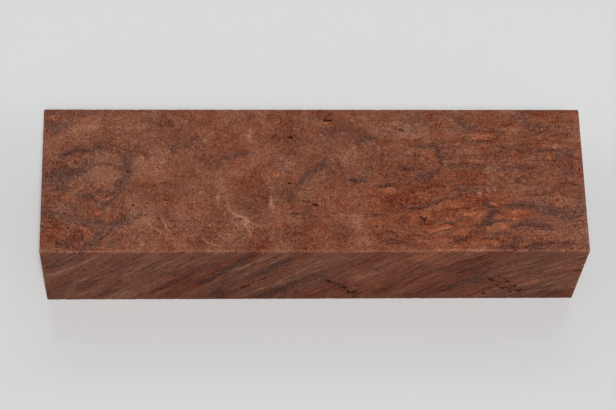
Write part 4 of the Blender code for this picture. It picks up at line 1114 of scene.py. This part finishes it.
    # every drawn mark takes a ragged edge from the grain, then shifts the tone
    uneven = addNode(tree, "Math", {"operation": "SUBTRACT"}, {0: tone, 1: 0.5}).outputs[0]
    extra = {"smoke": (seam, 1.0), "ember": (hue, 0.5)}
    amounts = {}
    for name, (shift, lean) in finish["marks"].items():
        edge = addNode(tree, "Math", {"operation": "MULTIPLY_ADD"}, {
            0: uneven, 1: lean, 2: marks[name]}).outputs[0]
        if name in extra:
            more, weight = extra[name]
            edge = addNode(tree, "Math", {"operation": "MULTIPLY_ADD"}, {
                0: more, 1: weight, 2: edge}).outputs[0]
        amounts[name] = addNode(tree, "MapRange", {}, {0: edge, 1: 0.02, 2: 0.95}).outputs[0]
        tone = addNode(tree, "Math", {"operation": "MULTIPLY_ADD"}, {
            0: amounts[name], 1: shift, 2: tone}).outputs[0]

    # a thin darker rim round every old bud, where the share of ember times the rest peaks at a quarter
    outside = addNode(tree, "Math", {"operation": "SUBTRACT"}, {0: 1.0, 1: amounts["ember"]}).outputs[0]
    rim = addNode(tree, "Math", {"operation": "MULTIPLY"}, {0: outside, 1: amounts["ember"]}).outputs[0]
    tone = addNode(tree, "Math", {"operation": "MULTIPLY_ADD"}, {
        0: rim, 1: -4 * finish["rims"], 2: tone}).outputs[0]

    # cut fibre ends as dark dots, denser in some places, and the larger pin knots in a pale ring
    spacing, weight = finish["stipple"]
    ends = addNode(tree, "TexVoronoi", {"feature": "F1"}, {
        "Vector": places["section"], "Scale": 1 / spacing})
    start, stop, pale = finish["dots"]
    dots = addNode(tree, "MapRange", eased, {
        0: ends.outputs["Distance"], 1: start, 2: stop, 3: -weight, 4: pale * weight}).outputs[0]
    faint, dense = finish["density"]
    density = addNode(tree, "MapRange", {}, {
        0: grains["swirl"], 1: 0.35, 2: 0.65, 3: dense, 4: faint}).outputs[0]
    fine = addNode(tree, "Math", {"operation": "MULTIPLY"}, {0: dots, 1: density}).outputs[0]
    size, octaves, weight = finish["dust"]
    dust = addNode(tree, "TexNoise", {}, {
        "Vector": places["own"], "Scale": 1 / size, "Detail": octaves, "Roughness": 1.0}).outputs[0]
    speck = addNode(tree, "Math", {"operation": "SUBTRACT"}, {0: dust, 1: 0.5}).outputs[0]
    fine = addNode(tree, "Math", {"operation": "MULTIPLY_ADD"}, {0: speck, 1: weight, 2: fine}).outputs[0]

    spacing, weight, pale = finish["pips"]
    knots = addNode(tree, "TexVoronoi", {"feature": "F1"}, {
        "Vector": places["section"], "Scale": 1 / spacing})
    chance = addNode(tree, "SeparateColor", {}, {0: knots.outputs["Color"]}).outputs[0]
    leftOut, whole = finish["pipChance"]
    chance = addNode(tree, "MapRange", eased, {0: chance, 1: leftOut, 2: whole}).outputs[0]
    middle, edge, ring = finish["pipRings"]
    pip = addNode(tree, "MapRange", eased, {
        0: knots.outputs["Distance"], 1: middle, 2: edge, 3: 1.0, 4: 0.0}).outputs[0]
    pip = addNode(tree, "Math", {"operation": "MULTIPLY"}, {0: pip, 1: chance}).outputs[0]
    halo = addNode(tree, "MapRange", eased, {
        0: knots.outputs["Distance"], 1: edge, 2: ring, 3: pale, 4: 0.0}).outputs[0]
    tone = addNode(tree, "Math", {"operation": "MULTIPLY_ADD"}, {0: halo, 1: chance, 2: tone}).outputs[0]
    tone = addNode(tree, "Math", {"operation": "MULTIPLY_ADD"}, {0: pip, 1: -weight, 2: tone}).outputs[0]
    # wear and painted highlight: the rubbed edges lighter
    tone = addNode(tree, "Math", {"operation": "MULTIPLY_ADD"}, {
        0: marks["wornAndHighlit"], 1: finish["wornAndHighlit"], 2: tone}).outputs[0]

    # the figure is stronger on the sides
    middled = addNode(tree, "Math", {"operation": "SUBTRACT"}, {0: tone, 1: 0.5}).outputs[0]
    tone = addNode(tree, "Math", {"operation": "MULTIPLY_ADD"}, {
        0: middled, 1: marks["contrast"], 2: 0.5}).outputs[0]

    # the four woods, each with its own run of colours, laid over each other by the marks
    ramps = {}
    for name in ("heart", "ember", "ash", "smoke"):
        ramp = addNode(tree, "ValToRGB", {}, {"Fac": tone})
        elements = ramp.color_ramp.elements
        while len(elements) < len(finish["tones"]):
            elements.new(0.5)
        for element, place, code in zip(elements, finish["tones"], finish[name]):
            element.position = place
            element.color = fromHex(code)
        ramps[name] = ramp.outputs["Color"]
    warm = addNode(tree, "Math", {"operation": "MULTIPLY_ADD", "use_clamp": True}, {
        0: pip, 1: 0.6, 2: amounts["ember"]}).outputs[0]
    warm = addNode(tree, "Math", {"operation": "MAXIMUM"}, {0: warm, 1: core}).outputs[0]
    start, stop = finish["lip"]
    lip = addNode(tree, "MapRange", eased, {0: marks["hollow"], 1: start, 2: stop}).outputs[0]
    start, stop = finish["inside"]
    deep = addNode(tree, "MapRange", eased, {0: marks["hollow"], 1: start, 2: stop}).outputs[0]
    warm = addNode(tree, "Math", {"operation": "MAXIMUM"}, {0: warm, 1: lip}).outputs[0]
    warm = addNode(tree, "Math", {"operation": "MAXIMUM"}, {0: warm, 1: hue}).outputs[0]
    colour = ramps["heart"]
    gamma = addNode(tree, "Math", {"operation": "SUBTRACT"}, {0: 1.0, 1: fine}).outputs[0]
    lay = ((warm, ramps["ember"]), (pallor, ramps["ash"]), (amounts["smoke"], ramps["smoke"]),
           (deep, fromHex(finish["bark"])))
    for amount, over in lay:
        colour = addNode(tree, "Mix", {"data_type": "RGBA"}, {0: amount, 6: colour, 7: over}).outputs[2]
    # the finest grain lightens and darkens all three primaries alike
    colour = addNode(tree, "Gamma", {}, {0: colour, 1: gamma}).outputs[0]

    knotHeight, sandingHeight = finish["relief"]
    relief = addNode(tree, "Math", {"operation": "MULTIPLY_ADD"}, {
        0: pip, 1: knotHeight, 2: dots}).outputs[0]
    relief = addNode(tree, "Math", {"operation": "MULTIPLY_ADD"}, {
        0: sanding, 1: sandingHeight, 2: relief}).outputs[0]
    strength, distance = finish["bump"]
    bump = addNode(tree, "Bump", {}, {"Height": relief, "Strength": strength, "Distance": distance})
    glossiest, dullest = (finish["roughness"] + more for more in finish["uneven"])
    rough = addNode(tree, "MapRange", {}, {
        0: dust, 1: 0.3, 2: 0.7, 3: glossiest, 4: dullest}).outputs[0]
    tree.links.new(colour, shader.inputs["Base Color"])
    tree.links.new(rough, shader.inputs["Roughness"])
    tree.links.new(bump.outputs[0], shader.inputs["Normal"])
    shader.inputs["IOR"].default_value = finish["ior"]
    shader.inputs["Specular IOR Level"].default_value = finish["specular"]
    return material


table = {
    "size": 3.0,           # m
    "colour": "#d9d9d9",   # white laminate with a faint sheen, as it looks in soft light
    "roughness": 0.10,
}


def paleTable(settings):
    bm = bmesh.new()
    bmesh.ops.create_grid(bm, x_segments=1, y_segments=1, size=settings["size"] / 2)
    mesh = bpy.data.meshes.new("table")
    bm.to_mesh(mesh)
    bm.free()
    material = bpy.data.materials.new("whiteLaminate")
    material.use_nodes = True
    shader = material.node_tree.nodes["Principled BSDF"]
    shader.inputs["Base Color"].default_value = fromHex(settings["colour"])
    shader.inputs["Roughness"].default_value = settings["roughness"]
    mesh.materials.append(material)
    floor = bpy.data.objects.new("table", mesh)
    bpy.context.scene.collection.objects.link(floor)


# Camera and light of the product picture
camera = {
    "place": (-27.66, -233.64, 513.40),   # mm
    "aim": (-0.19, 7.05, 0.0),            # mm
    "roll": 5.822,                        # degrees
    "lens": 126.53,                       # mm on a 36 mm sensor
}


def addCamera(settings):
    data = bpy.data.cameras.new("camera")
    data.lens = settings["lens"]
    data.sensor_width = 36
    data.clip_start, data.clip_end = 0.01, 20
    holder = bpy.data.objects.new("camera", data)
    bpy.context.scene.collection.objects.link(holder)
    place, aim = Vector(settings["place"]) * mm, Vector(settings["aim"]) * mm
    facing = (aim - place).to_track_quat("-Z", "Y").to_matrix().to_4x4()
    roll = Matrix.Rotation(radians(settings["roll"]), 4, "Z")
    holder.matrix_world = Matrix.Translation(place) @ facing @ roll
    bpy.context.scene.camera = holder


studio = {
    "sky": 0.16,           # brightness of the white room
    # place and size in m, power in W
    "lamps": {
        "softbox": ((0.0, -0.47, 1.15), (0.12, 0.3), 12.0),     # above the camera, shadows fall behind
        "farPanel": ((0.05, 0.83, 1.2), (1.0, 0.34), 2.1),      # mirrored in the table behind the block
        "nearPanel": ((0.05, 0.36, 1.2), (1.0, 0.24), 0.3),     # and in front of it
    },
}


def addLight(name, place, size, power):
    data = bpy.data.lights.new(name, "AREA")
    data.shape = "RECTANGLE"
    data.size, data.size_y = size
    data.energy = power
    lamp = bpy.data.objects.new(name, data)
    bpy.context.scene.collection.objects.link(lamp)
    lamp.location = place
    lamp.rotation_euler = (-Vector(place)).to_track_quat("-Z", "Y").to_euler()


def lightRoom(settings):
    world = bpy.data.worlds.new("studio")
    world.use_nodes = True
    background = world.node_tree.nodes["Background"]
    background.inputs["Color"].default_value = (1, 1, 1, 1)
    background.inputs["Strength"].default_value = settings["sky"]
    bpy.context.scene.world = world
    for name, lamp in settings["lamps"].items():
        addLight(name, *lamp)
    bpy.context.scene.view_settings.view_transform = "Standard"


print("block: mesh and figure")
piece = burlBlock(block)
print("block:", len(piece.data.polygons), "faces", len(piece.data.vertices), "points")
piece.data.materials.append(burlWood(burl))
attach(piece, "root")
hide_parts("burl_block")

print("table, camera and light")
paleTable(table)
addCamera(camera)
lightRoom(studio)
